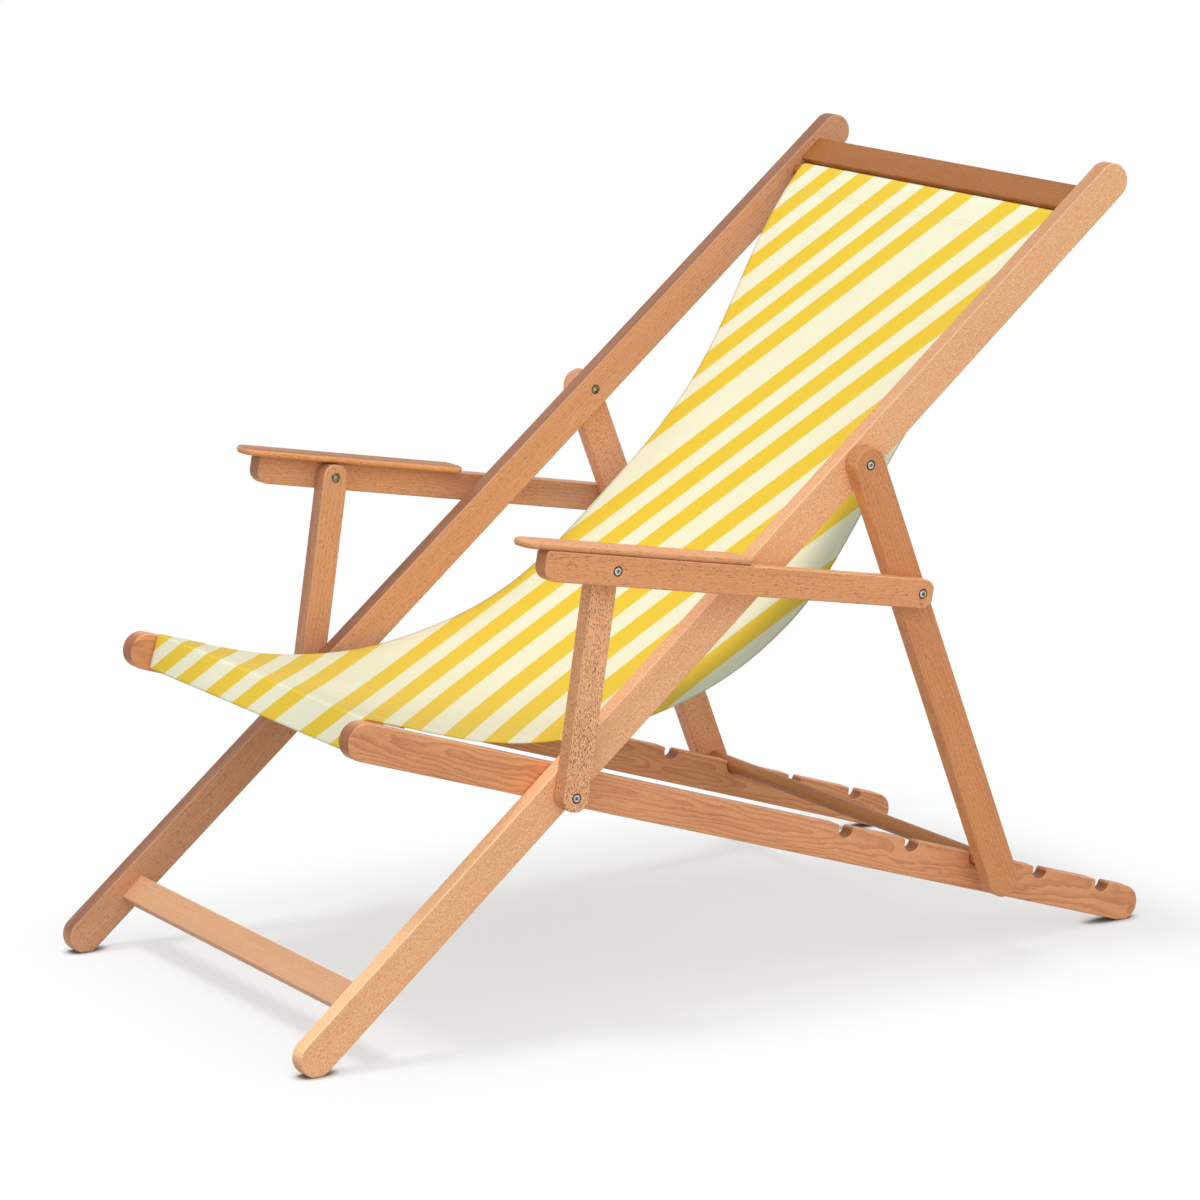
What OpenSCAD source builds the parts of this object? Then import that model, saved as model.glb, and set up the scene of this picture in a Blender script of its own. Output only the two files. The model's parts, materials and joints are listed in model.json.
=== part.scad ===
// Folding deck chair with armrests, set up in the middle one of its five notches.
// Lengths are in millimetres. +Z is up, the sitter faces -Y and X = 0 is the middle plane.
// Every pivot turns about an axis parallel to X, so rails are drawn in a side frame:
// s runs along the rail, h square to it and upwards, and the third axis points to +X.

/* [Main frame] */
// Length of each main rail, tip to tip
main_len = 1200; // [1120:5:1300]
// Slope of the main rails above the floor, in degrees
main_tilt = 39.7; // [37:0.1:42]
// Clear width between the two main rails
main_clear = 452; // [400:2:520]
// Width of the main and seat rails, seen from the side
rail_w = 36; // [32:0.5:40]
// Thickness of every rail, leg and post
rail_t = 18; // [15:0.5:22]
// Running gap between two neighbouring layers of wood
layer_gap = 1.2; // [0.8:0.1:2]
// Depth of the flat where a rounded end stands on the floor
foot_flat = 0.6; // [0.3:0.1:1.5]
// Chamfer on the long edges of the wood
edge_ease = 1.5; // [0.5:0.1:2.5]

/* [Pivots] */
// Seat pivot, from the centre of the main rail's rounded foot
seat_pivot_at = 341; // [325:1:360]
// How far the seat pivot lies below the middle lines of the main and seat rails
pivot_drop = 6; // [0:0.5:8]
// Prop pivot, from the centre of the main rail's rounded foot
prop_pivot_at = 775; // [750:1:800]
// Elbow pivot, from the prop pivot down the prop leg
elbow_at = 137; // [128:1:146]
// Arm post, from the seat pivot to the arm pivot
post_len = 218; // [208:1:228]

/* [Crossbars] */
// Distance from the main rail's head tip down to the middle of the top crossbar
top_bar_from_tip = 52; // [40:1:60]
// Width of the top crossbar
top_bar_w = 31; // [26:1:36]
// Thickness of the top crossbar
top_bar_t = 18; // [14:1:22]
// Diameter of the rod in the sling's top hem
hem_rod_d = 16; // [12:1:18]
// Step from the middle of the top crossbar down to the middle of the hem rod
hem_rod_drop = 26.5; // [25.5:0.5:32]
// Middle of the foot stretcher, from the centre of the main rail's rounded foot
stretcher_at = 67; // [45:1:85]
// Width of the foot stretcher
stretcher_w = 29; // [24:1:34]
// Thickness of the foot stretcher
stretcher_t = 12; // [10:1:16]
// How far the foot stretcher's middle lies below the rail's middle line
stretcher_sink = 4; // [0:0.5:7]
// Length of each tenon
tenon_len = 12; // [8:1:14]
// Shoulder round each tenon
tenon_shoulder = 3; // [2:0.5:4]
// Clearance round a tenon and at its end
tenon_clear = 0.1; // [0.05:0.05:0.3]

/* [Seat frame] */
// Seat rail, from the seat pivot forwards to its front tip
seat_front = 234; // [220:1:248]
// Seat rail, from the seat pivot back to its rear tip
seat_rear = 732; // [716:1:745]
// Width of the front crossbar, which stands upright between the seat rails
front_bar_w = 33; // [28:1:36]
// Thickness of the front crossbar
front_bar_t = 18; // [14:1:20]
// Distance from the seat rail's front tip back to the middle of the front crossbar
front_bar_inset = 34; // [28:1:44]
// How far the front crossbar's middle lies above the seat rail's middle line
front_bar_raise = 2.5; // [0:0.5:4]

/* [Notches] */
// Number of notches in each seat rail
notch_count = 5; // [3:1:5]
// Notch that holds the prop crossbar, counted from the seat pivot
notch_used = 3; // [1:1:5]
// Distance from the seat pivot to the first notch
notch_first = 345; // [335:1:355]
// Distance from one notch to the next
notch_pitch = 83.75; // [78:0.25:88]
// Depth of a notch
notch_depth = 11.5; // [10:0.5:13]
// Slack of the prop crossbar across a notch
notch_slack = 0.8; // [0.7:0.1:2]
// Rounding of a notch's mouth
notch_round = 2.5; // [1:0.5:4]

/* [Prop] */
// Width of a prop leg, seen from the side
prop_w = 34; // [30:0.5:38]
// Diameter of the crossbar that drops into the notches
prop_bar_d = 16; // [14:0.5:18]
// Prop leg, from the prop pivot up to its tip
prop_top = 16.5; // [14:0.5:19]
// Prop leg, from the crossbar down to its tip
prop_end = 34; // [28:1:36]

/* [Arms] */
// Width of an arm post, seen from the side
post_w = 28; // [24:0.5:30]
// Arm post, from the arm pivot up to its tip
post_top = 13; // [11:0.5:14]
// Arm post, from the seat pivot down to its tip
post_bottom = 13.5; // [12:0.5:14]
// Height of an arm rail
arm_h = 28.6; // [28.6:0.2:33]
// Arm rail, from the arm pivot forwards to its front tip
arm_front = 80; // [70:1:90]
// Arm rail, from the elbow back to its rear tip
arm_end = 12.5; // [10:0.5:14]
// Rounding of the arm rail's lower front corner
arm_nose = 13; // [9:1:14]
// Rounding of the arm rail's upper front corner
arm_brow = 5; // [3:1:8]
// Width of an armrest board
board_w = 33; // [30:1:33]
// Thickness of an armrest board
board_t = 7.5; // [7:0.5:12]
// Armrest board, from the arm pivot forwards to its tip
board_front = 103; // [92:1:112]
// Armrest board, from the arm pivot back to its end
board_rear = 153; // [140:1:160]
// Rounding of the armrest board's front corners
board_nose = 14; // [8:1:15]
// Rounding of the armrest board's rear corners
board_tail = 9; // [5:1:13]

/* [Sling] */
// Thickness of the cloth
cloth_t = 1.2; // [0.8:0.1:2]
// Gap between the cloth and the bars that it is wrapped round
cloth_gap = 0.3; // [0.2:0.1:0.6]
// Gap from each side edge of the cloth to the seat rail, at the front crossbar
cloth_side_gap = 2.5; // [1.5:0.5:8]
// Gap from each side edge of the cloth to the main rail, at the hem rod
cloth_head_gap = 12; // [6:1:20]
// How much each side edge draws in halfway up the back
cloth_waist = 27; // [0:1:32]
// How firmly the seat leaves the front crossbar along the seat rails' slope
seat_pull = 235; // [200:1:260]
// Lowest stretch of the seat: pull point behind the seat pivot
seat_hang_y = 217; // [200:1:240]
// Lowest stretch of the seat: pull point above the seat pivot
seat_hang_z = 17; // [10:1:40]
// Bulge of the back: pull point behind the prop pivot
back_hang_y = 39; // [25:1:60]
// Bulge of the back: pull point below the prop pivot
back_hang_z = 128; // [115:1:150]
// How firmly the back leaves the hem rod
head_pull = 208; // [190:1:230]
// Slope at which the back reaches the hem rod, in degrees
head_slope = 48.5; // [44:0.5:52]

/* [Fasteners] */
// Diameter of the pivot bolts
bolt_d = 5; // [4:0.5:6]
// Diameter of a bolt head or nut
head_d = 8.5; // [8:0.5:10]
// Depth of the pocket that a bolt head or nut sits in
head_sink = 3; // [2:0.5:4]
// How far a domed bolt head stands out of its pocket
head_proud = 0.6; // [0.3:0.1:0.7]
// Gap round a bolt head or nut in its pocket
head_gap = 0.7; // [0.3:0.1:1]
// Radial running clearance of the bolts in the wood
bore_fit = 0.08; // [0.04:0.01:0.1]
// Outer diameter of the washers
washer_d = 14; // [12:0.5:18]
// Diameter of the armrest screws
screw_d = 4; // [3:0.5:5]
// Diameter of an armrest screw's head
screw_head_d = 7.5; // [7:0.5:9]
// Height of an armrest screw's head
screw_head_h = 2.5; // [2:0.1:3.5]
// How far an armrest screw's head stands out of the arm rail
screw_proud = 0.3; // [0:0.1:1]
// How far the armrest screws reach into the armrest board
screw_bite = 6; // [4:0.5:7]
// Armrest screw in front of the arm pivot
screw_front = 48; // [30:1:60]
// Armrest screw behind the arm pivot
screw_rear = 112; // [90:1:130]

/* [Hidden] */
$fn = 64;

wood = [0.90, 0.65, 0.46];
wood_dark = [0.80, 0.54, 0.36];
metal = [0.75, 0.75, 0.77];
cloth = [0.97, 0.84, 0.30];

// Layers of wood on the left side, from the middle outwards
main_x = main_clear / 2;
seat_x = main_x - layer_gap - rail_t;
leg_x = main_x + rail_t + layer_gap;
arm_x = leg_x + rail_t + layer_gap;

function along(angle, s, h = 0) = [s * cos(angle) - h * sin(angle), s * sin(angle) + h * cos(angle)];
function slope(v) = atan2(v[1], v[0]);

// Side plane, as [y, z]: the main rail fixes the seat pivot's height, and the seat rail
// slopes from there until its own rounded end stands on the floor
end_r = rail_w / 2;
stand_z = end_r - foot_flat;
seat_leg = seat_rear - end_r;
pivot_step = along(main_tilt, seat_pivot_at, -pivot_drop);
seat_tilt = -asin(pivot_step[1] / norm([seat_leg, pivot_drop])) - atan2(pivot_drop, seat_leg);
depth = pivot_step[0] + along(seat_tilt, seat_leg, pivot_drop)[0] + 2 * end_r;
foot = [end_r - depth / 2, stand_z];
seat_pivot = foot + pivot_step;
seat_mid = seat_pivot + along(seat_tilt, 0, pivot_drop);
prop_pivot = foot + along(main_tilt, prop_pivot_at);

// The prop leg runs from its pivot to the crossbar that lies in the notch in use
cloth_pad = cloth_gap + cloth_t / 2;
seat_gap = 0.3;
notch_r = (prop_bar_d + notch_slack) / 2;
notch_s = notch_first + (notch_used - 1) * notch_pitch;
notch_h = end_r - notch_depth + notch_r;
prop_bar_h = end_r - notch_depth + seat_gap + prop_bar_d / 2;
prop_bar = seat_mid + along(seat_tilt, notch_s, prop_bar_h);
prop_len = norm(prop_bar - prop_pivot);
prop_tilt = slope(prop_bar - prop_pivot);
elbow = prop_pivot + along(prop_tilt, elbow_at);

// Arm rail, from arm pivot to elbow: this length lets every link fold into one line,
// which runs from the seat pivot through the prop pivot
fold_line = slope(prop_pivot - seat_pivot);
arm_span = norm(prop_pivot - seat_pivot) + elbow_at - post_len;
reach = norm(elbow - seat_pivot);
post_tilt = slope(elbow - seat_pivot)
    + acos((pow(post_len, 2) + pow(reach, 2) - pow(arm_span, 2)) / (2 * post_len * reach));
arm_pivot = seat_pivot + along(post_tilt, post_len);
arm_tilt = slope(elbow - arm_pivot);

top_bar_s = main_len - rail_w / 2 - top_bar_from_tip;
hem_rod_s = top_bar_s - hem_rod_drop;
front_bar_s = front_bar_inset - seat_front;
screws = [-screw_front, screw_rear];
screw_sink = screw_head_h - screw_proud;

bore_r = bolt_d / 2 + bore_fit;
head_h = head_sink - 0.3;
head_clear_r = head_d / 2 + head_gap;
nut_sunk = 0.5;
washer_t = layer_gap - 0.2;
dome_h = 1.2;
socket_d = 3.2;
elbow_nut_r = head_d / 2;
elbow_bolt_reach = 5;
hem_tenon_r = hem_rod_d / 2 - tenon_shoulder;
prop_tenon_r = prop_bar_d / 2 - tenon_shoulder;

echo(seat_tilt = seat_tilt, prop_tilt = prop_tilt, prop_len = prop_len);
echo(post_tilt = post_tilt, arm_tilt = arm_tilt, arm_span = arm_span);
echo(foot = foot, seat_pivot = seat_pivot, prop_pivot = prop_pivot);
echo(arm_pivot = arm_pivot, elbow = elbow, prop_bar = prop_bar);
echo(prop_fold = fold_line - prop_tilt, seat_fold = main_tilt - seat_tilt);
echo(post_ratio = (fold_line - post_tilt) / (fold_line - prop_tilt));
echo(arm_ratio = (post_tilt - arm_tilt) / (fold_line - prop_tilt));

// Puts a part drawn as (s, h, x) at a point of the side plane
module place(at, angle, x = 0) {
    translate([x, at[0], at[1]]) rotate([90, 0, 90]) rotate([0, 0, angle]) children();
}

module side(left) {
    if (left) children();
    else mirror([1, 0, 0]) children();
}

module chamfered(w, t, ease = edge_ease) {
    x = w / 2;
    y = t / 2;
    polygon([[-x + ease, -y], [x - ease, -y], [x, -y + ease], [x, y - ease],
             [x - ease, y], [-x + ease, y], [-x, y - ease], [-x, -y + ease]]);
}

// Cuts the long edges of a rail that is drawn from z = 0 to t
module eased(s0, s1, w, t) {
    intersection() {
        linear_extrude(t) children();
        translate([s0, 0, t / 2]) rotate([90, 0, 90]) linear_extrude(s1 - s0) chamfered(w, t);
    }
}

// A rail with rounded ends, from tip to tip
module rail(s0, s1, w, t = rail_t) {
    eased(s0, s1, w, t) {
        translate([s0 + w / 2, -w / 2]) square([s1 - s0 - w, w]);
        translate([s0 + w / 2, 0]) circle(d = w);
        translate([s1 - w / 2, 0]) circle(d = w);
    }
}

// A rail that ends a given distance past its pivots, with ends as round as its width.
// An end that is shorter than its rounding is flattened
module link(back, span, front, w) {
    last = span + max(0, front - w / 2);
    eased(-back, span + front, w, rail_t) {
        translate([0, -w / 2]) square([last, w]);
        circle(d = w);
        translate([last, 0]) circle(d = w);
    }
}

module bore(s, r, h = 0, depth = rail_t) {
    translate([s, h, -0.01]) cylinder(r = r, h = depth + 0.02);
}

// Pocket for a bolt head in the outer face, or for a nut in the inner face
module head_pocket(s) {
    translate([s, 0, rail_t - head_sink]) cylinder(r = head_clear_r, h = head_sink + 1);
}

module nut_pocket(s, h = 0) {
    translate([s, h, -1]) cylinder(r = head_clear_r, h = head_sink + 1);
}

// Everything below the floor is cut away, which leaves a flat under each rounded end
module stand() {
    difference() {
        children();
        translate([-main_clear, -main_len, -main_len]) cube([2 * main_clear, 2 * main_len, main_len]);
    }
}

// A bar across the chair: its section is w along s and t along h
module crossbar(half, w, t) {
    translate([0, 0, -half]) linear_extrude(2 * half) chamfered(w, t);
    translate([0, 0, -half - tenon_len]) linear_extrude(2 * (half + tenon_len)) tenon(w, t);
}

module tenon(w, t, clear = 0) {
    square([w - 2 * tenon_shoulder + 2 * clear, t - 2 * tenon_shoulder + 2 * clear], center = true);
}

module mortise(s, h, w, t) {
    translate([s, h, -0.01]) linear_extrude(tenon_len + tenon_clear) tenon(w, t, tenon_clear);
}

module rod(half, r, tenon_r) {
    translate([0, 0, -half]) cylinder(r = r, h = 2 * half);
    translate([0, 0, -half - tenon_len]) cylinder(r = tenon_r, h = 2 * (half + tenon_len));
}

// Wood of the main frame

module main_rail(left) {
    color(wood) side(left) stand() place(foot, main_tilt, main_x) difference() {
        rail(-end_r, main_len - end_r, rail_w);
        bore(seat_pivot_at, bore_r, -pivot_drop);
        bore(prop_pivot_at, bore_r);
        nut_pocket(prop_pivot_at);
        mortise(stretcher_at, -stretcher_sink, stretcher_w, stretcher_t);
        mortise(top_bar_s, 0, top_bar_w, top_bar_t);
        bore(hem_rod_s, hem_tenon_r + tenon_clear, 0, tenon_len + tenon_clear);
    }
}

module top_crossbar() {
    color(wood_dark) place(foot + along(main_tilt, top_bar_s), main_tilt)
        crossbar(main_x, top_bar_w, top_bar_t);
}

module hem_rod() {
    color(wood_dark) place(foot + along(main_tilt, hem_rod_s), main_tilt)
        rod(main_x, hem_rod_d / 2, hem_tenon_r);
}

module foot_stretcher() {
    color(wood) place(foot + along(main_tilt, stretcher_at, -stretcher_sink), main_tilt)
        crossbar(main_x, stretcher_w, stretcher_t);
}

// Wood of the seat frame

// A notch: round at the bottom, straight sides, and a mouth with rounded corners
module notch(s) {
    mouth = notch_r + notch_round;
    translate([s, 0, -1]) linear_extrude(rail_t + 2) {
        translate([0, notch_h]) circle(r = notch_r);
        translate([-notch_r, notch_h]) square([2 * notch_r, end_r + 1 - notch_h]);
        difference() {
            translate([-mouth, end_r - notch_round]) square([2 * mouth, notch_round + 1]);
            for (m = [-1, 1]) translate([m * mouth, end_r - notch_round]) circle(r = notch_round);
        }
    }
}

module seat_rail(left) {
    color(wood) side(left) stand() place(seat_mid, seat_tilt, seat_x) difference() {
        rail(-seat_front, seat_rear, rail_w);
        bore(0, bore_r, -pivot_drop);
        nut_pocket(0, -pivot_drop);
        for (i = [0 : notch_count - 1]) notch(notch_first + i * notch_pitch);
        mortise(front_bar_s, front_bar_raise, front_bar_t, front_bar_w);
    }
}

module front_crossbar() {
    color(wood_dark) place(seat_mid + along(seat_tilt, front_bar_s, front_bar_raise), seat_tilt)
        crossbar(seat_x, front_bar_t, front_bar_w);
}

// Wood of the prop

module prop_leg(left) {
    color(wood) side(left) place(prop_pivot, prop_tilt, leg_x) difference() {
        link(prop_top, prop_len, prop_end, prop_w);
        bore(0, bore_r);
        head_pocket(0);
        bore(elbow_at, elbow_nut_r + bore_fit);
        bore(prop_len, prop_tenon_r + tenon_clear, 0, tenon_len + tenon_clear);
    }
}

module prop_crossbar() {
    color(wood_dark) place(prop_bar, seat_tilt) rod(leg_x, prop_bar_d / 2, prop_tenon_r);
}

// Wood of the arms

module arm_post(left) {
    color(wood) side(left) place(seat_pivot, post_tilt, leg_x) difference() {
        link(post_bottom, post_len, post_top, post_w);
        bore(0, bore_r);
        head_pocket(0);
        bore(post_len, bore_r);
        nut_pocket(post_len);
    }
}

module arm_outline() {
    low = -arm_h / 2;
    translate([arm_nose - arm_front, low]) square([arm_front - arm_nose + arm_span, arm_h]);
    translate([-arm_front, low + arm_nose]) square([arm_nose + 1, arm_h - arm_nose - arm_brow]);
    translate([arm_brow - arm_front, low + arm_nose]) square([arm_nose, arm_h - arm_nose]);
    translate([arm_nose - arm_front, low + arm_nose]) circle(r = arm_nose);
    translate([arm_brow - arm_front, -low - arm_brow]) circle(r = arm_brow);
    translate([arm_span, 0]) circle(d = arm_h);
}

module arm_rail(left) {
    color(wood) side(left) place(arm_pivot, arm_tilt, arm_x) difference() {
        eased(-arm_front, arm_span + arm_end, arm_h, rail_t) arm_outline();
        for (s = [0, arm_span]) {
            bore(s, bore_r);
            head_pocket(s);
        }
        for (s = screws) translate([s, -arm_h / 2 - 1, rail_t / 2]) rotate([-90, 0, 0]) {
            cylinder(r = screw_d / 2 + bore_fit, h = arm_h + 2);
            cylinder(r = screw_head_d / 2 + bore_fit, h = screw_sink + 1);
        }
    }
}

// The armrest board lies on the arm rail, flush outside and over the post inside
module armrest(left) {
    inner = rail_t - board_w;
    nose = board_nose - board_front;
    tail = board_rear - board_tail;
    color(wood) side(left) place(arm_pivot, arm_tilt, arm_x) difference() {
        intersection() {
            translate([0, arm_h / 2 + board_t, 0]) rotate([90, 0, 0]) linear_extrude(board_t) {
                translate([nose, inner]) square([tail - nose, board_w]);
                translate([-board_front, inner + board_nose]) square([board_front, board_w - 2 * board_nose]);
                translate([0, inner + board_tail]) square([board_rear, board_w - 2 * board_tail]);
                for (z = [inner + board_nose, rail_t - board_nose]) translate([nose, z]) circle(r = board_nose);
                for (z = [inner + board_tail, rail_t - board_tail]) translate([tail, z]) circle(r = board_tail);
            }
            translate([-board_front, arm_h / 2 + board_t / 2, rail_t - board_w / 2]) rotate([90, 0, 90])
                linear_extrude(board_front + board_rear) chamfered(board_t, board_w, 2 * edge_ease);
        }
        for (s = screws) translate([s, 0, rail_t / 2]) rotate([-90, 0, 0])
            cylinder(r = screw_d / 2 + bore_fit, h = arm_h / 2 + screw_bite + bore_fit);
    }
}

// Cloth: one strip, hemmed round the front crossbar and round the hem rod

function arc(centre, r, a0, a1, n) = [for (i = [0 : n]) centre + along(a0 + (a1 - a0) * i / n, r)];
function mix(a, b, t) = a * (1 - t) + b * t;
function blend(p, t) = len(p) == 1 ? p[0]
    : blend([for (i = [0 : len(p) - 2]) mix(p[i], p[i + 1], t)], t);

corner_r = edge_ease + cloth_pad;
bar_x = front_bar_t / 2 - edge_ease;
bar_y = front_bar_w / 2 - edge_ease;
front_mid = seat_mid + along(seat_tilt, front_bar_s, front_bar_raise);
head_mid = foot + along(main_tilt, hem_rod_s);
head_loop_r = hem_rod_d / 2 + cloth_pad;
front_edge = front_mid + along(seat_tilt, bar_x, bar_y + corner_r);
head_edge = head_mid + along(head_slope, 0, head_loop_r);

// Round the crossbar: up from behind it, under, up its front and over its top
front_hem = concat(
    [front_mid + along(seat_tilt, bar_x + corner_r, bar_y - 6)],
    [for (c = [[1, -1, 0], [-1, -1, -90], [-1, 1, -180]])
        each arc(front_mid + along(seat_tilt, c[0] * bar_x, c[1] * bar_y), corner_r,
                 seat_tilt + c[2], seat_tilt + c[2] - 90, 3)]);
pulls = [front_edge, front_edge + along(seat_tilt, seat_pull),
         seat_pivot + [seat_hang_y, seat_hang_z], prop_pivot + [back_hang_y, -back_hang_z],
         head_edge - along(head_slope, head_pull), head_edge];
sag_steps = 44;
sag = [for (i = [0 : sag_steps]) blend(pulls, i / sag_steps)];
head_hem = arc(head_mid, head_loop_r, head_slope + 90, head_slope + 90 - 285, 19);
cloth_line = concat(front_hem, sag, [for (i = [1 : len(head_hem) - 1]) head_hem[i]]);
function in_sag(i) = min(max((i - len(front_hem)) / sag_steps, 0), 1);

// Half width: pinched in between the seat rails, full width over the seat and at the
// head, and drawn in along a smooth wave halfway up the back
front_half = seat_x - cloth_side_gap;
full_half = main_x - cloth_head_gap;
widen_to = 0.15;
function ease(u) = u * u * (3 - 2 * u);
function half_at(i) = let (t = in_sag(i))
    mix(front_half, full_half, ease(min(t / widen_to, 1)))
    - (t > 0.5 ? cloth_waist * (1 - cos(720 * (t - 0.5))) / 2 : 0);
function unit(v) = v / norm(v);
function normal_at(i) =
    let (n = len(cloth_line), d = unit(cloth_line[min(i + 1, n - 1)] - cloth_line[max(i - 1, 0)]))
    [-d[1], d[0]];

module sling() {
    n = len(cloth_line);
    points = [for (i = [0 : n - 1]) let (p = cloth_line[i], o = normal_at(i) * cloth_t / 2, w = half_at(i))
        each [[-w, p[0] - o[0], p[1] - o[1]], [w, p[0] - o[0], p[1] - o[1]],
              [w, p[0] + o[0], p[1] + o[1]], [-w, p[0] + o[0], p[1] + o[1]]]];
    walls = [for (i = [0 : n - 2]) for (k = [0 : 3])
        let (a = 4 * i + k, b = 4 * i + (k + 1) % 4)
        each [[a, b, b + 4], [a, b + 4, a + 4]]];
    ends = [[3, 2, 1], [3, 1, 0], [4 * n - 4, 4 * n - 3, 4 * n - 2], [4 * n - 4, 4 * n - 2, 4 * n - 1]];
    color(cloth) polyhedron(points, concat(walls, ends));
}

// Metal

// A domed bolt: z = 0 is the outer face of the wood, and the shank runs down from it
module bolt(length) {
    r = head_d / 2;
    ball = (pow(r, 2) + pow(dome_h, 2)) / (2 * dome_h);
    color(metal) difference() {
        union() {
            intersection() {
                translate([0, 0, -head_h]) cylinder(r = r, h = head_h + head_proud);
                translate([0, 0, head_proud - ball]) sphere(r = ball);
            }
            translate([0, 0, -length]) cylinder(d = bolt_d, h = length - head_h + 0.5);
        }
        translate([0, 0, head_proud - 2]) cylinder(d = socket_d, h = 3, $fn = 6);
    }
}

// A slotted barrel nut: z = 0 is the inner face of the wood
module nut(thick = head_h - nut_sunk) {
    color(metal) translate([0, 0, nut_sunk]) difference() {
        cylinder(d = head_d, h = thick);
        translate([0, 0, -1]) cylinder(r = bore_r, h = thick + 2);
        translate([-head_d, -0.6, -1]) cube([2 * head_d, 1.2, 1.8]);
    }
}

module washer() {
    color(metal) translate([0, 0, (layer_gap - washer_t) / 2]) difference() {
        cylinder(d = washer_d, h = washer_t);
        translate([0, 0, -1]) cylinder(r = bore_r + 0.1, h = washer_t + 2);
    }
}

module both() {
    for (left = [true, false]) side(left) children();
}

module seat_pivot_bolts() {
    both() place(seat_pivot, 0, leg_x + rail_t) bolt(leg_x + rail_t - seat_x - 2 * nut_sunk);
}

module seat_pivot_nuts() {
    both() place(seat_pivot, 0, seat_x) nut();
}

module prop_pivot_bolts() {
    both() place(prop_pivot, 0, leg_x + rail_t) bolt(leg_x + rail_t - main_x - 2 * nut_sunk);
}

module prop_pivot_nuts() {
    both() place(prop_pivot, 0, main_x) nut();
}

module pivot_washers() {
    both() {
        place(seat_pivot, 0, main_x - layer_gap) washer();
        place(seat_pivot, 0, main_x + rail_t) washer();
        place(prop_pivot, 0, main_x + rail_t) washer();
    }
}

// The elbow bolt ends at the arm rail's inner face, and its nut stays in the prop leg
module arm_bolts(left) {
    side(left) {
        place(arm_pivot, 0, arm_x + rail_t) bolt(arm_x + rail_t - leg_x - 2 * nut_sunk);
        place(elbow, 0, arm_x + rail_t) bolt(rail_t);
    }
}

module arm_nut(left) {
    side(left) place(arm_pivot, 0, leg_x) nut();
}

module arm_washer(left) {
    side(left) place(arm_pivot, 0, leg_x + rail_t) washer();
}

module elbow_nuts() {
    both() place(elbow, 0, leg_x) color(metal) difference() {
        cylinder(r = elbow_nut_r, h = rail_t);
        translate([0, 0, rail_t - elbow_bolt_reach]) cylinder(r = bore_r, h = elbow_bolt_reach + 1);
        translate([-head_d, -0.6, -1]) cube([2 * head_d, 1.2, 1.8]);
    }
}

module elbow_washers() {
    both() place(elbow, 0, leg_x + rail_t) washer();
}

module armrest_screws(left) {
    shank = arm_h - screw_sink + screw_bite;
    color(metal) side(left) place(arm_pivot, arm_tilt, arm_x)
        for (s = screws) translate([s, screw_sink - arm_h / 2, rail_t / 2]) rotate([-90, 0, 0]) {
            translate([0, 0, -screw_head_h]) difference() {
                cylinder(d = screw_head_d, h = screw_head_h);
                translate([-screw_head_d, -0.5, -1]) cube([2 * screw_head_d, 1, 2]);
            }
            cylinder(d = screw_d, h = shank);
        }
}

main_rail(true);  // main_rail_left
main_rail(false);  // main_rail_right
top_crossbar();
hem_rod();
foot_stretcher();
seat_pivot_bolts();
seat_pivot_nuts();
prop_pivot_bolts();
prop_pivot_nuts();
pivot_washers();
seat_rail(true);  // seat_rail_left
seat_rail(false);  // seat_rail_right
front_crossbar();
sling();
prop_leg(true);  // prop_leg_left
prop_leg(false);  // prop_leg_right
prop_crossbar();
elbow_nuts();
elbow_washers();
arm_post(true);  // arm_post_left
arm_post(false);  // arm_post_right
arm_rail(true);  // arm_rail_left
arm_rail(false);  // arm_rail_right
armrest(true);  // armrest_left
armrest(false);  // armrest_right
arm_bolts(true);  // arm_bolts_left
arm_bolts(false);  // arm_bolts_right
arm_nut(true);  // arm_nut_left
arm_nut(false);  // arm_nut_right
arm_washer(true);  // arm_washer_left
arm_washer(false);  // arm_washer_right
armrest_screws(true);  // armrest_screws_left
armrest_screws(false);  // armrest_screws_right
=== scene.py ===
"""Looks for the folding deck chair: oiled beech rails with eased edges, a striped cloth sling
with sewn hems, steel fasteners, and a pale studio stage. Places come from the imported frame."""

import json
import math

import bpy
import numpy as np
from mathutils import Matrix, Vector
from mathutils.geometry import tessellate_polygon

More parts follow.
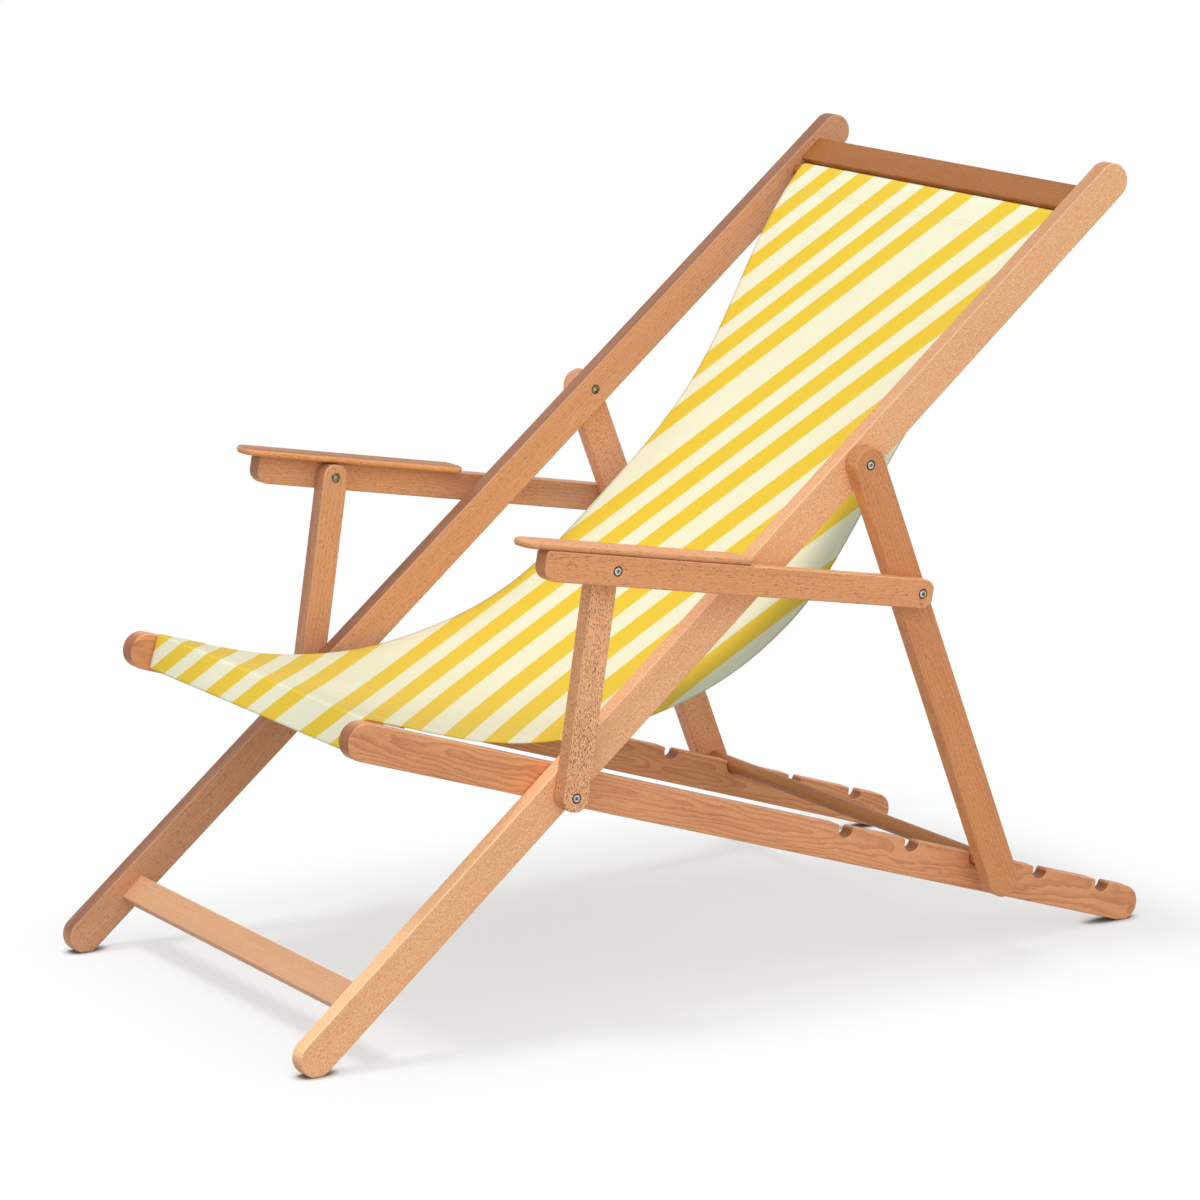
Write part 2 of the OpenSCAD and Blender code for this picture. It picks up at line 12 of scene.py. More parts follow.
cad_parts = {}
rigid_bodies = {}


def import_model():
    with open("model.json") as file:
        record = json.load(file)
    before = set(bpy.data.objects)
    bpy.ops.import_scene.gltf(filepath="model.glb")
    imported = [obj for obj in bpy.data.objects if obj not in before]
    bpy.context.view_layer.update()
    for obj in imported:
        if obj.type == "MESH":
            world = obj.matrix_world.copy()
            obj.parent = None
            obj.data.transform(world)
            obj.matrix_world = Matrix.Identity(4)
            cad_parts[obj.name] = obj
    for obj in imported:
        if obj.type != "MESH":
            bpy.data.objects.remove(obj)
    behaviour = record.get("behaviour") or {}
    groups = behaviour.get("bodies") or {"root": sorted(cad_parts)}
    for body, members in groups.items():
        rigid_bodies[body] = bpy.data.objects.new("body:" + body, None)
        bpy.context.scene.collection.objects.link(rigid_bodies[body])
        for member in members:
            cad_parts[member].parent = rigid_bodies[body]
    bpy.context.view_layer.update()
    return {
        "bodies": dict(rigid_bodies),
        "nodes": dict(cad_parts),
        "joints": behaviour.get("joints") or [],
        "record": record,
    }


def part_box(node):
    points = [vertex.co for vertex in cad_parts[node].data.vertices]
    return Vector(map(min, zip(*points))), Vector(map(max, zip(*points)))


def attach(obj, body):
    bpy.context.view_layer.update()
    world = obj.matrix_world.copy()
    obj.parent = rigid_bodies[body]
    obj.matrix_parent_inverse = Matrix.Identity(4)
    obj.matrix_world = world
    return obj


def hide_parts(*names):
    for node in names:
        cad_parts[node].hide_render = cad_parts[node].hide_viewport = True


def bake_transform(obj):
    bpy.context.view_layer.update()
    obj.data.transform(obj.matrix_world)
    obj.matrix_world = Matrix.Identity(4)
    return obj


bl_info = {
    "name": "Folding deck chair",
    "version": (1, 0, 0),
    "blender": (4, 5, 0),
    "location": "3D View > Sidebar > Deck chair",
    "description": "Dresses the packed deck chair in oiled beech, striped canvas and steel",
    "category": "Object",
}

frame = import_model()
MM = 0.001
SIDES = {"left": 1.0, "right": -1.0}


# Places in the side plane, as (y, z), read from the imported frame

def pivot(name):
    """Where a joint's axis crosses the side plane."""
    return np.array(next(j["pos_m"] for j in frame["joints"] if j["name"] == name)[1:])


def middle(node):
    """Middle of a node's box in the side plane."""
    lowest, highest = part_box(node)
    return np.array([lowest.y + highest.y, lowest.z + highest.z]) / 2


def layer(node):
    """Inner face of a left-hand node, as its distance from the middle plane."""
    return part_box(node)[0].x


def along(angle, s, h=0.0):
    """Step s along a line at that angle, and h square to it."""
    return np.array([s * math.cos(angle) - h * math.sin(angle), s * math.sin(angle) + h * math.cos(angle)])


def slope(step):
    return math.atan2(step[1], step[0])


def reach(start, end):
    """Slope and length of the line from one place to another."""
    return slope(end - start), np.linalg.norm(end - start)


def local(point, at, angle):
    """A point of the side plane, as (s, h) from at, along a line at that angle."""
    return along(-angle, *(np.asarray(point) - at))


SEAT_PIVOT = pivot("seat_frame")
PROP_PIVOT = pivot("prop_fold")
ARM_PIVOT = pivot("arm_left")
ELBOW = middle("elbow_nuts")
PROP_BAR = middle("prop_crossbar")
TOP_BAR = middle("top_crossbar")
HEM_ROD = middle("hem_rod")
STRETCHER = middle("foot_stretcher")
FRONT_BAR = middle("front_crossbar")
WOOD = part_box("main_rail_left")[1].x - layer("main_rail_left")


# What a user would change

def size_of(name, description, metres):
    return bpy.props.FloatProperty(name=name, description=description, default=metres, unit="LENGTH")


def colour_of(name, description, linear):
    return bpy.props.FloatVectorProperty(name=name, description=description, default=linear, subtype="COLOR")


class DeckChairSizes(bpy.types.PropertyGroup):
    """Sizes of the wood and the cloth that the frame's boxes do not give."""

    rail_width: size_of("Rail width", "Width of the main and seat rails", 0.036)
    foot_flat: size_of("Foot flat", "Depth of the flat under a rounded end", 0.0006)
    rounding: size_of("Edge rounding", "Radius of the eased edges of the wood", 0.0017)
    prop_width: size_of("Prop width", "Width of the prop legs", 0.034)
    post_width: size_of("Post width", "Width of the arm posts", 0.028)
    arm_height: size_of("Arm height", "Height of the arm rails", 0.0286)
    board_thickness: size_of("Armrest thickness", "Thickness of the armrest boards", 0.0075)
    cloth_thickness: size_of("Cloth thickness", "Thickness of the canvas", 0.0012)
    stripe: size_of("Stripe", "Width of a yellow stripe", 0.0138)
    stripe_pitch: size_of("Stripe pitch", "Distance from one yellow stripe to the next", 0.02613)
    stripe_rest: size_of("Stripe rest", "Extra cream in the middle of a group of six", 0.0034)
    wide_cream: size_of("Wide cream", "Cream stripe between two groups", 0.0228)


class DeckChairColours(bpy.types.PropertyGroup):
    """Colours, as linear red, green and blue."""

    beech: colour_of("Beech", "Oiled beech", (0.86, 0.435, 0.215))
    beech_deep: colour_of("Deep beech", "Grain lines of the beech", (0.56, 0.235, 0.10))
    # Beech pale is also the painted highlight on upward edges and the painted light where the shading is
    # below zero.
    beech_pale: colour_of("Pale beech", "Pale specks and worn edges", (0.97, 0.66, 0.42))
    # Fleck is also the colour of painted shade on the wood.
    fleck: colour_of("Fleck", "Short dark flecks of the beech", (0.24, 0.09, 0.04))
    yellow: colour_of("Yellow", "Yellow stripes", (0.88, 0.61, 0.030))
    cream: colour_of("Cream", "Cream stripes", (0.92, 0.905, 0.685))
    floor: colour_of("Floor", "Pale floor", (0.92, 0.96, 1.0))


def sizes():
    return bpy.context.scene.deck_chair_sizes


def colours():
    return bpy.context.scene.deck_chair_colours


# Shader helpers

def add_node(tree, kind, inputs=None, **settings):
    """Adds a shader node. Each input is a value, or a socket to link."""
    node = tree.nodes.new("ShaderNode" + kind)
    for key, value in settings.items():
        setattr(node, key, value)
    for key, value in (inputs or {}).items():
        if isinstance(value, bpy.types.NodeSocket):
            tree.links.new(value, node.inputs[key])
        else:
            node.inputs[key].default_value = value
    return node


def calc(operation, first, second=0.0, third=0.0):
    """A Math node's result. Like the next helpers it works in the tree of the socket it is given."""
    return add_node(first.id_data, "Math", {0: first, 1: second, 2: third}, operation=operation).outputs[0]


def times(first, second):
    """A value times another."""
    return calc("MULTIPLY", first, second)


def vector(operation, *inputs, output=0):
    """A Vector Math node's result."""
    node = add_node(inputs[0].id_data, "VectorMath", dict(enumerate(inputs)), operation=operation)
    return node.outputs[output]


def mix(factor, first, second, blend_type="MIX"):
    """A colour between two colours."""
    inputs = {0: factor, 6: first, 7: second}
    return add_node(factor.id_data, "Mix", inputs, data_type="RGBA", blend_type=blend_type).outputs[2]


def ramp(value, low, high, first=0.0, second=1.0):
    """A smooth step of a value from low to high."""
    inputs = {"Value": value, 1: low, 2: high, 3: first, 4: second}
    return add_node(value.id_data, "MapRange", inputs, interpolation_type="SMOOTHSTEP").outputs[0]


def noise(place, scale, detail=3.0, distortion=0.0, output="Fac"):
    """Noise on a place that is first stretched by scale, one factor for each axis."""
    stretched = add_node(place.id_data, "Mapping", {"Vector": place, "Scale": scale}).outputs[0]
    inputs = {"Vector": stretched, "Scale": 1.0, "Detail": detail, "Distortion": distortion}
    return add_node(place.id_data, "TexNoise", inputs).outputs[output]


def attribute(tree, name, output="Vector"):
    return add_node(tree, "Attribute", attribute_name=name).outputs[output]


def own_place(tree):
    """The place in the object's own coordinates."""
    return add_node(tree, "TexCoord").outputs["Object"]


def rgba(colour, factor=(1.0, 1.0, 1.0)):
    return (*[min(c * f, 1.0) for c, f in zip(colour, factor)], 1.0)


def new_material(name, roughness, **sockets):
    """A material with its tree and its Principled node."""
    material = bpy.data.materials.new(name)
    material.use_nodes = True
    tree = material.node_tree
    shader = tree.nodes["Principled BSDF"]
    shader.inputs["Roughness"].default_value = roughness
    for key, value in sockets.items():
        shader.inputs[key.replace("_", " ")].default_value = value
    return material, tree, shader


def connect(shader, colour, height, distance, strength=1.0, rough=None):
    """Gives the shader its colour, its bumps and, where it varies, its roughness."""
    tree = shader.id_data
    tree.links.new(colour, shader.inputs["Base Color"])
    inputs = {"Height": height, "Distance": distance, "Strength": strength}
    tree.links.new(add_node(tree, "Bump", inputs).outputs[0], shader.inputs["Normal"])
    if rough:
        tree.links.new(rough, shader.inputs["Roughness"])


# Wood finishes

# Tint, how many dark flecks and how long they are, pale specks, and how bold the figure is
FINISHES = {
    "plain": ((1.14, 1.15, 1.12), 0.1, 0.004, 0.75, 0.2),
    "soft": ((0.82, 0.84, 0.88), 0.0, 0.006, 0.15, 0.3),
    # The far side's finish: its darker, cooler tint is painted shade; its flecks and figure are the wood's
    # own.
    "far_side_shaded": ((0.86, 0.85, 0.92), 0.6, 0.004, 0.3, 0.5),
    "brown": ((0.87, 0.72, 0.57), 0.25, 0.004, 0.4, 0.5),
    "figured": ((1.0, 0.90, 0.84), 0.1, 0.006, 0.2, 1.0),
    "flecked": ((1.14, 1.12, 1.08), 1.25, 0.0022, 0.9, 0.2),
    "dashed": ((1.0, 0.89, 0.78), 0.6, 0.005, 0.3, 0.3),
    "speckled": ((1.0, 0.93, 0.94), 0.7, 0.003, 0.8, 0.3),
    "warm": ((0.74, 0.58, 0.43), 0.3, 0.004, 0.4, 0.3),
    "deep": ((0.60, 0.44, 0.29), 0.3, 0.004, 0.4, 0.3),
    "dark": ((0.44, 0.29, 0.11), 0.4, 0.003, 0.7, 0.4),
}
# How finely each noise is drawn, in cells to the metre: along the grain, then twice across it
CELLS = {"figure": (5, 45, 45), "warp": (9, 22, 22), "specks": (520, 900, 900),
         "patches": (10, 50, 50), "edge_wear_and_highlight": (25, 200, 200), "pores": (900, 900, 900)}
FLECK_CELLS = 1150
RING_SCALE, RING_WARP = 85.0, 22 * MM


def beech(finish):
    """Oiled beech along a piece's own grain: slow figure, growth rings round the heart of the
    tree, short dark flecks, pale specks, pale eased edges that are wear and, on upward edges, a
    painted highlight, darker end grain, painted light where the surface's painted shading is
    below zero and painted shade where it is above."""
    name = "beech_" + finish
    if name in bpy.data.materials:
        return bpy.data.materials[name]
    tint, flecks, fleck_length, specks, boldness = FINISHES[finish]
    material, tree, shader = new_material(name, 0.48, Specular_IOR_Level=0.3)
    grain = attribute(tree, "grain")
    light, deep, pale, dark = (rgba(getattr(colours(), key), tint)
                               for key in ("beech", "beech_deep", "beech_pale", "fleck"))

    figure = noise(grain, CELLS["figure"], detail=4, distortion=0.8)
    centred = vector("SUBTRACT", noise(grain, CELLS["warp"], output="Color"), (0.5, 0.5, 0.5))
    bent = vector("MULTIPLY_ADD", centred, (0.0, RING_WARP, RING_WARP), attribute(tree, "heart"))
    inputs = {"Vector": bent, "Scale": RING_SCALE, "Distortion": 0.6, "Detail": 2.0}
    rings = add_node(tree, "TexWave", inputs, wave_type="RINGS", rings_direction="X",
                     wave_profile="SAW").outputs["Fac"]
    slow = times(ramp(figure, 0.4, 0.75), 0.3 * boldness + 0.1)
    fine = noise(grain, CELLS["specks"], detail=2)
    dashes = noise(grain, (0.8 / fleck_length, FLECK_CELLS, FLECK_CELLS), detail=1, distortion=0.2)
    patches = noise(grain, CELLS["patches"], detail=1)
    over = calc("SUBTRACT", dashes, calc("MULTIPLY_ADD", patches, -0.12, 0.735 - 0.085 * flecks))
    fleck = times(ramp(over, 0.0, 0.07), 0.3 + 0.5 * flecks)
    edge_wear_and_highlight = ramp(noise(grain, CELLS["edge_wear_and_highlight"]), 0.3, 0.7, 0.55, 0.9)
    pores = ramp(noise(grain, CELLS["pores"], detail=2), 0.35, 0.7)
    painted_shading = times(attribute(tree, "painted_shading", "Fac"), ramp(figure, 0.25, 0.75, 0.75, 1.0))
    colour = light
    for amount, second in (
            (calc("MULTIPLY_ADD", ramp(rings, 0.25, 1.0), 0.6 * boldness, slow), deep),
            (times(ramp(fine, 0.53, 0.66), specks), pale),
            (times(ramp(fine, 0.47, 0.30), 0.45 * specks + 0.1), deep),
            (fleck, dark),
            # Pale eased edges: wear, and on upward edges a painted highlight.
            (times(attribute(tree, "eased", "Fac"), edge_wear_and_highlight), pale),
            (times(ramp(attribute(tree, "end_grain", "Fac"), 0.3, 0.95), 0.45), mix(pores, deep, dark)),
            # Painted light in the pale colour where the painted shading is below zero, painted shade in the
            # fleck colour where it is above.
            (calc("MAXIMUM", times(painted_shading, -1)), pale),
            (calc("MAXIMUM", painted_shading), dark)):
        colour = mix(amount, colour, second)
    height = calc("MULTIPLY_ADD", fleck, -0.8, times(fine, 0.6))
    connect(shader, colour, height, 0.25 * MM, 0.6, calc("MULTIPLY_ADD", figure, 0.16, 0.42))
    return material


# Mesh helpers

def owner(node):
    """Name of the body that a CAD node rides on."""
    return next(name for name, body in frame["bodies"].items() if body == frame["nodes"][node].parent)


def new_object(name, data):
    thing = bpy.data.objects.new(name, data)
    bpy.context.scene.collection.objects.link(thing)
    return thing


def add_piece(name, points, faces, normals, fields, material, body):
    """Makes a piece from points, faces and one normal for each face corner, with its float
    fields, and lets it ride on a body. Fields are arrays with a row for each point."""
    mesh = bpy.data.meshes.new(name)
    mesh.from_pydata(points.tolist(), [], faces)
    mesh.polygons.foreach_set("use_smooth", np.ones(len(mesh.polygons), bool))
    if normals is not None:
        mesh.normals_split_custom_set(np.asarray(normals).tolist())
    for key, values in fields.items():
        kind, slot = ("FLOAT_VECTOR", "vector") if values.ndim == 2 else ("FLOAT", "value")
        field = mesh.attributes.new(key, kind, "POINT")
        field.data.foreach_set(slot, values.astype(np.float32).ravel())
    mesh.materials.append(material)
    piece = new_object(name, mesh)
    if body:
        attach(piece, body)
    return piece


def arc(centre, radius, first, last, count):
    """Points on a circle from one angle to another, in degrees."""
    angles = np.radians(np.linspace(first, last, count))
    return np.asarray(centre) + radius * np.stack([np.cos(angles), np.sin(angles)], axis=1)


def circle(radius, count):
    """Points all round a circle."""
    return arc((0, 0), radius, 0, 360, count + 1)[:-1]


def rail_outline(start, stop, width, first_tip=None, last_tip=None, notches=()):
    """Outline of a rail, anticlockwise: half circles round its two end centres, start and stop,
    cut off flat where a tip is nearer than the circle. Notches are cut into the upper edge."""
    radius = width / 2
    points = []
    for centre, tip, turn in ((stop, last_tip, 0), (start, first_tip, 180)):
        cut = 0.0 if tip is None or tip >= radius else math.degrees(math.acos(tip / radius))
        if cut:
            points += [arc((centre, 0), radius, turn - 90, turn - cut, 14),
                       arc((centre, 0), radius, turn + cut, turn + 90, 14)]
        else:
            points.append(arc((centre, 0), radius, turn - 90, turn + 90, 37))
        if turn == 0:
            points += notches
    return np.concatenate(points)


def notch_outline(s, radius, rounding, depth, edge):
    """One notch, walked from its rear side to its front side: a rounded lip, a straight side,
    the round bottom, and the same again."""
    middle_h = edge - depth + radius
    lip = radius + rounding
    return np.concatenate([
        arc((s + lip, edge - rounding), rounding, 90, 180, 6),
        arc((s, middle_h), radius, 0, -180, 22),
        arc((s - lip, edge - rounding), rounding, 0, 90, 6)])


def unit(rows):
    """Each row brought to length 1."""
    return rows / np.linalg.norm(rows, axis=1, keepdims=True)


def left_of(rows):
    """Each direction turned to its left by a quarter."""
    return np.stack([-rows[:, 1], rows[:, 0]], axis=1)


def inward_normals(outline):
    """Unit normals of a closed outline that point into it, and their mitre factors."""
    left = left_of(unit(np.roll(outline, -1, axis=0) - outline))
    both = unit(left + np.roll(left, 1, axis=0))
    return both, 1 / np.clip((both * left).sum(axis=1), 0.5, 1)


def ring_faces(rows, count, first=0, closed=True):
    """Quads between rings of count points each, in rows that follow each other. Without closed
    the rings are open lines."""
    r, k = np.meshgrid(np.arange(rows - 1), np.arange(count if closed else count - 1), indexing="ij")
    here, beside = (first + r * count + column for column in (k, (k + 1) % count))
    return np.stack([here, beside, beside + count, here + count], axis=-1).reshape(-1, 4)


def ring_ends(rows, count, first=0):
    """Faces that close the first and the last of such closed rings."""
    last = first + (rows - 1) * count
    return [list(range(first, first + count))[::-1], list(range(last, last + count))]


def cap_faces(outlines, firsts, upward):
    """Triangles that fill the first outline and leave the other outlines open."""
    loops = [[Vector((x, y, 0)) for x, y in outline] for outline in outlines]
    index = np.concatenate([first + np.arange(len(o)) for first, o in zip(firsts, outlines)])
    flat = np.concatenate(outlines)
    triangles = np.array(tessellate_polygon(loops))
    a, b, c = (flat[triangles[:, k]] for k in range(3))
    area = (b[:, 0] - a[:, 0]) * (c[:, 1] - a[:, 1]) - (b[:, 1] - a[:, 1]) * (c[:, 0] - a[:, 0])
    flip = (area > 0) != upward
    triangles[flip] = triangles[flip][:, ::-1]
    return index[triangles[np.abs(area) > 1e-14]]


def bore_rings(hole, thickness):
    """A hole's rings from the inner face to the outer: (radius, level), with a small chamfer at
    each mouth. inner and outer are the depths of wider pockets at the two faces."""
    break_edge = 0.25 * MM
    inner, outer = hole.get("inner"), hole.get("outer")
    low = hole["wide"] if inner else hole["radius"]
    high = hole["wide"] if outer else hole["radius"]
    rings = [(low + break_edge, 0.0), (low, break_edge)]
    if inner:
        rings += [(low, inner), (hole["radius"], inner)]
    if outer:
        rings += [(hole["radius"], thickness - outer), (high, thickness - outer)]
    return rings + [(high, thickness - break_edge), (high + break_edge, thickness)]


def wood_fields(points, facing, upward, eased, end_grain, painted_shading, seed, finish):
    """Fields for the beech: the place along the grain, the place seen from the heart of the tree,
    edge wear with a painted highlight on upward edges, end grain and painted shading. The heart
    wanders through a figured board at a slight angle, and lies far to the side of any other."""
    s, h, z = points.T
    aside = 3 * MM if finish == "figured" else 75 * MM
    heart = np.stack([0.1 * s, h - aside - 0.008 * np.sin(7 * s + seed),
                      z + 0.006 * math.cos(seed) + 0.045 * (s - 0.5 - 0.1 * math.sin(3 * seed))], axis=1)
    # Eased edges: faint wear on downward edges, raised on upward edges as a painted highlight.
    return {"grain": points + np.array([seed, 0, 0]), "heart": heart,
            "eased": eased * np.clip(0.15 + 1.4 * upward, 0, 1), "end_grain": end_grain,
            "painted_shading": painted_shading(points, facing) if painted_shading else np.zeros(len(points))}


def board(name, outline, thickness, origin, axes, finish, body, holes=(), rounding=None, seed=0.0,
          painted_shading=None):
    """A board from its outline: rings step in by r(1 - sin a) as they rise by r(1 - cos a), which
    eases every edge with radius r, and flat faces close it. Holes are surfaces of revolution.
    axes are the directions of the outline's two axes and of the thickness."""
    rounding = rounding or sizes().rounding
    count = len(outline)
    inward, mitre = inward_normals(outline)
    angle = np.linspace(0, math.pi / 2, 5)
    inset = rounding * (1 - np.sin(angle))
    rise = rounding * (1 - np.cos(angle))
    inset = np.concatenate([inset, inset[::-1]])
    level = np.concatenate([rise, thickness - rise[::-1]])
    lean = np.concatenate([-np.cos(angle), np.cos(angle[::-1])])
    rows = len(level)

    def stack(flat, upright):
        upright = np.broadcast_to(upright[:, None], flat.shape[:2])
        return np.dstack([flat, upright]).reshape(-1, 3)

    flat = outline[None] + (inward * mitre[:, None])[None] * inset[:, None, None]
    points = [stack(flat, level)]
    facing = [stack(-inward[None] * np.sqrt(1 - lean ** 2)[:, None, None], lean)]
    eased = [np.repeat(1 - np.abs(2 * np.abs(lean) - 1), count)]
    quads = [ring_faces(rows, count)]
    wall = used = rows * count
    rims = [(flat[0], 0, flat[-1], (rows - 1) * count)]
    turn = 32
    ring = circle(1.0, turn)
    for hole in holes:
        radii, levels = np.array(bore_rings(hole, thickness)).T
        rings = radii[:, None, None] * ring + np.asarray(hole["at"])
        points.append(stack(rings, levels))
        facing.append(stack(-np.broadcast_to(ring, rings.shape), 0 * levels))
        eased.append(np.zeros(len(radii) * turn))
        quads.append(ring_faces(len(radii), turn, used)[:, ::-1])
        rims.append((rings[0], used, rings[-1], used + (len(radii) - 1) * turn))
        used += len(radii) * turn
    points, facing, eased, quads = (np.concatenate(a) for a in (points, facing, eased, quads))
    low_loops, low_firsts, high_loops, high_firsts = zip(*rims)
    low, high = cap_faces(low_loops, low_firsts, False), cap_faces(high_loops, high_firsts, True)

    normals = facing[quads]
    corners = points[quads]
    across = np.cross(corners[:, 1] - corners[:, 0], corners[:, 3] - corners[:, 0])
    area = np.linalg.norm(across, axis=1)
    in_pocket = (np.ptp(corners[:, :, 2], axis=1) < 1e-7) & (area > 0)
    normals[in_pocket] = (across[in_pocket] / area[in_pocket, None])[:, None]
    normals = np.concatenate([normals.reshape(-1, 3), np.tile([0, 0, -1], (low.size, 1)),
                              np.tile([0, 0, 1], (high.size, 1))])
    faces = quads.tolist() + low.tolist() + high.tolist()

    basis = np.array(axes)
    if np.linalg.det(basis) < 0:
        ends = np.cumsum([len(f) for f in faces])
        normals = np.concatenate([normals[end - len(f):end][::-1] for f, end in zip(faces, ends)])
        faces = [f[::-1] for f in faces]
    outside = facing * (np.arange(used) < wall)[:, None]
    fields = wood_fields(points, outside, (outside @ basis)[:, 2], eased, np.abs(outside[:, 0]), painted_shading, seed,
                         finish)
    world = np.asarray(origin) + points @ basis
    return add_piece(name, world, faces, normals @ basis, fields, beech(finish), body)


def plane_axes(angle):
    """Directions of the side plane: along a line at that angle, and square to it."""
    return (0, *along(angle, 1)), (0, *along(angle, 0, 1))


def side_board(node, side, at, angle, outline, finishes, holes, seed, painted_shading=None):
    """A rail, leg or post in the side plane, in place of its CAD node. finishes are those of the
    left and the right one."""
    finish = finishes[side == "right"]
    origin = (SIDES[side] * layer(node + "_left"), *at)
    axes = [*plane_axes(angle), (SIDES[side], 0, 0)]
    piece = board(f"{node}_wood_{side}", outline, WOOD, origin, axes, finish, owner(f"{node}_{side}"), holes,
                  seed=seed if side == "left" else seed + 1.7, painted_shading=painted_shading)
    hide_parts(f"{node}_{side}")


def cross_bar(node, at, angle, half, finish, seed):
    """A bar across the chair: a closed section in the side plane carried along X, with flat ends."""
    section = SECTIONS[node]
    count, rows = len(section), 9
    outward = -inward_normals(section)[0]
    x = np.linspace(-half, half, rows)
    points = np.column_stack([np.repeat(x, count), np.tile(section, (rows, 1))])
    facing = np.column_stack([np.zeros(rows * count), np.tile(outward, (rows, 1))])
    quads = ring_faces(rows, count)
    basis = np.array([(1, 0, 0), *plane_axes(angle)])
    normals = np.concatenate([facing[quads].reshape(-1, 3), [(-1, 0, 0)] * count, [(1, 0, 0)] * count])
    square = len(set(np.round(section[:, 0], 6))) < count
    corner = np.abs(outward).min(axis=1) * math.sqrt(2) * square
    fields = wood_fields(points, facing, (facing @ basis)[:, 2], np.tile(corner, rows),
                         np.zeros(rows * count), None, seed, finish)
    world = np.array([0, *at]) + points @ basis
    faces = quads.tolist() + ring_ends(rows, count)
    piece = add_piece(node + "_wood", world, faces, normals @ basis, fields, beech(finish), owner(node))
    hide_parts(node)


def rectangle_section(width, height, radius):
    """A rectangle with rounded corners, anticlockwise."""
    x, y = width / 2 - radius, height / 2 - radius
    corners = ((x, y, 0), (-x, y, 90), (-x, -y, 180), (x, -y, 270))
    return np.concatenate([arc((a, b), radius, turn, turn + 90, 6) for a, b, turn in corners])


# The chair's own boards

BORE = {"radius": 2.58 * MM, "wide": 4.95 * MM}
POCKET = 3 * MM
INNER = {"inner": POCKET, **BORE}
OUTER = {"outer": POCKET, **BORE}
NUT_BORE = 4.33 * MM
FRONT_WIDTH, FRONT_HEIGHT, FRONT_ROUNDING = 18 * MM, 33 * MM, 1.5 * MM
ROD_RADIUS = 8 * MM
SECTIONS = {"top_crossbar": rectangle_section(31 * MM, 18 * MM, 1.8 * MM),
            "foot_stretcher": rectangle_section(29 * MM, 12 * MM, 1.6 * MM),
            "front_crossbar": rectangle_section(FRONT_WIDTH, FRONT_HEIGHT, FRONT_ROUNDING),
            "hem_rod": circle(ROD_RADIUS, 40), "prop_crossbar": circle(ROD_RADIUS, 40)}


def rail_line(node, rises):
    """Centre of a rail's rounded front end, then the slope and the distance to the centre of the
    rear one. The rail stands on its front end if it rises towards +Y, or else on its rear end."""
    lowest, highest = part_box(node)
    radius = sizes().rail_width / 2
    heights = (radius - sizes().foot_flat, highest.z - radius)
    places = (lowest.y + radius, highest.y - radius)
    front, rear = np.column_stack([places, heights if rises else heights[::-1]])
    return front, *reach(front, rear)


def on_floor(outline, at, angle):
    """Presses the part of an outline that lies below the floor up to it, which leaves a flat."""
    z = at[1] + outline[:, 0] * math.sin(angle) + outline[:, 1] * math.cos(angle)
    lift = np.maximum(-z, 0) / math.cos(angle)
    return outline + np.stack([0 * lift, lift], axis=1)


def smooth(x, low, high):
    """A smooth step from 0 at low to 1 at high."""
    t = np.clip((x - low) / (high - low), 0, 1)
    return t * t * (3 - 2 * t)


def make_main_rail(side):
    """Main rail. Its upper narrow face has painted light on the left one, turning to painted shade
    near its head, and painted shade on the right one."""
    foot, angle, length = rail_line("main_rail_left", True)
    outline = on_floor(rail_outline(0, length, sizes().rail_width), foot, angle)
    holes = [{"at": local(SEAT_PIVOT, foot, angle), **BORE}, {"at": local(PROP_PIVOT, foot, angle), **INNER}]

    def painted_shading(points, facing):
        # Painted light below zero and painted shade above, on the upper narrow face.
        near_head = smooth(points[:, 0], length - 0.16, length - 0.06)
        amount = near_head - 0.35 if side == "left" else 0.9
        return amount * smooth(facing[:, 1], 0.4, 0.95)

    side_board("main_rail", side, foot, angle, outline, ("plain", "far_side_shaded"), holes, 0.4, painted_shading)


NOTCHES = {"count": 5, "first": 345 * MM, "pitch": 83.75 * MM, "radius": 8.4 * MM,
           "rounding": 2.5 * MM, "depth": 11.5 * MM}


def make_seat_rail(side):
    """Seat rail, with painted shade in its notches and on its front tip."""
    width = sizes().rail_width
    front, angle, length = rail_line("seat_rail_left", False)
    start = local(SEAT_PIVOT, front, angle)[0]
    places = [start + NOTCHES["first"] + k * NOTCHES["pitch"] for k in range(NOTCHES["count"])][::-1]
    notches = [notch_outline(s, NOTCHES["radius"], NOTCHES["rounding"], NOTCHES["depth"], width / 2)
               for s in places]
    outline = on_floor(rail_outline(0, length, width, notches=notches), front, angle)
    holes = [{"at": local(SEAT_PIVOT, front, angle), **INNER}]

    def painted_shading(points, facing):
        from_notch = np.abs(points[:, :1] - np.array(places)).min(axis=1)
        inside = (from_notch < NOTCHES["radius"] + 0.5 * MM) & (points[:, 1] > 0)
        inside &= points[:, 1] < width / 2 - NOTCHES["rounding"]
        front_tip = smooth(-facing[:, 0], 0.3, 0.95) * (points[:, 0] < 0)
        return 0.8 * front_tip + 0.85 * inside * (1 - np.abs(facing[:, 2]))

    side_board("seat_rail", side, front, angle, outline, ("figured", "figured"), holes, 2.3, painted_shading)


def make_prop_leg(side):
    """Prop leg, from a flat end just past its pivot to a round end past its bar."""
    width = sizes().prop_width
    angle, span = reach(PROP_PIVOT, PROP_BAR)
    top_tip, end_tip = 16.5 * MM, 34 * MM
    outline = rail_outline(0, span + end_tip - width / 2, width, first_tip=top_tip)
    holes = [{"at": (0, 0), **OUTER}, {"at": local(ELBOW, PROP_PIVOT, angle), "radius": NUT_BORE}]
    side_board("prop_leg", side, PROP_PIVOT, angle, outline, ("brown", "speckled"), holes, 5.1)


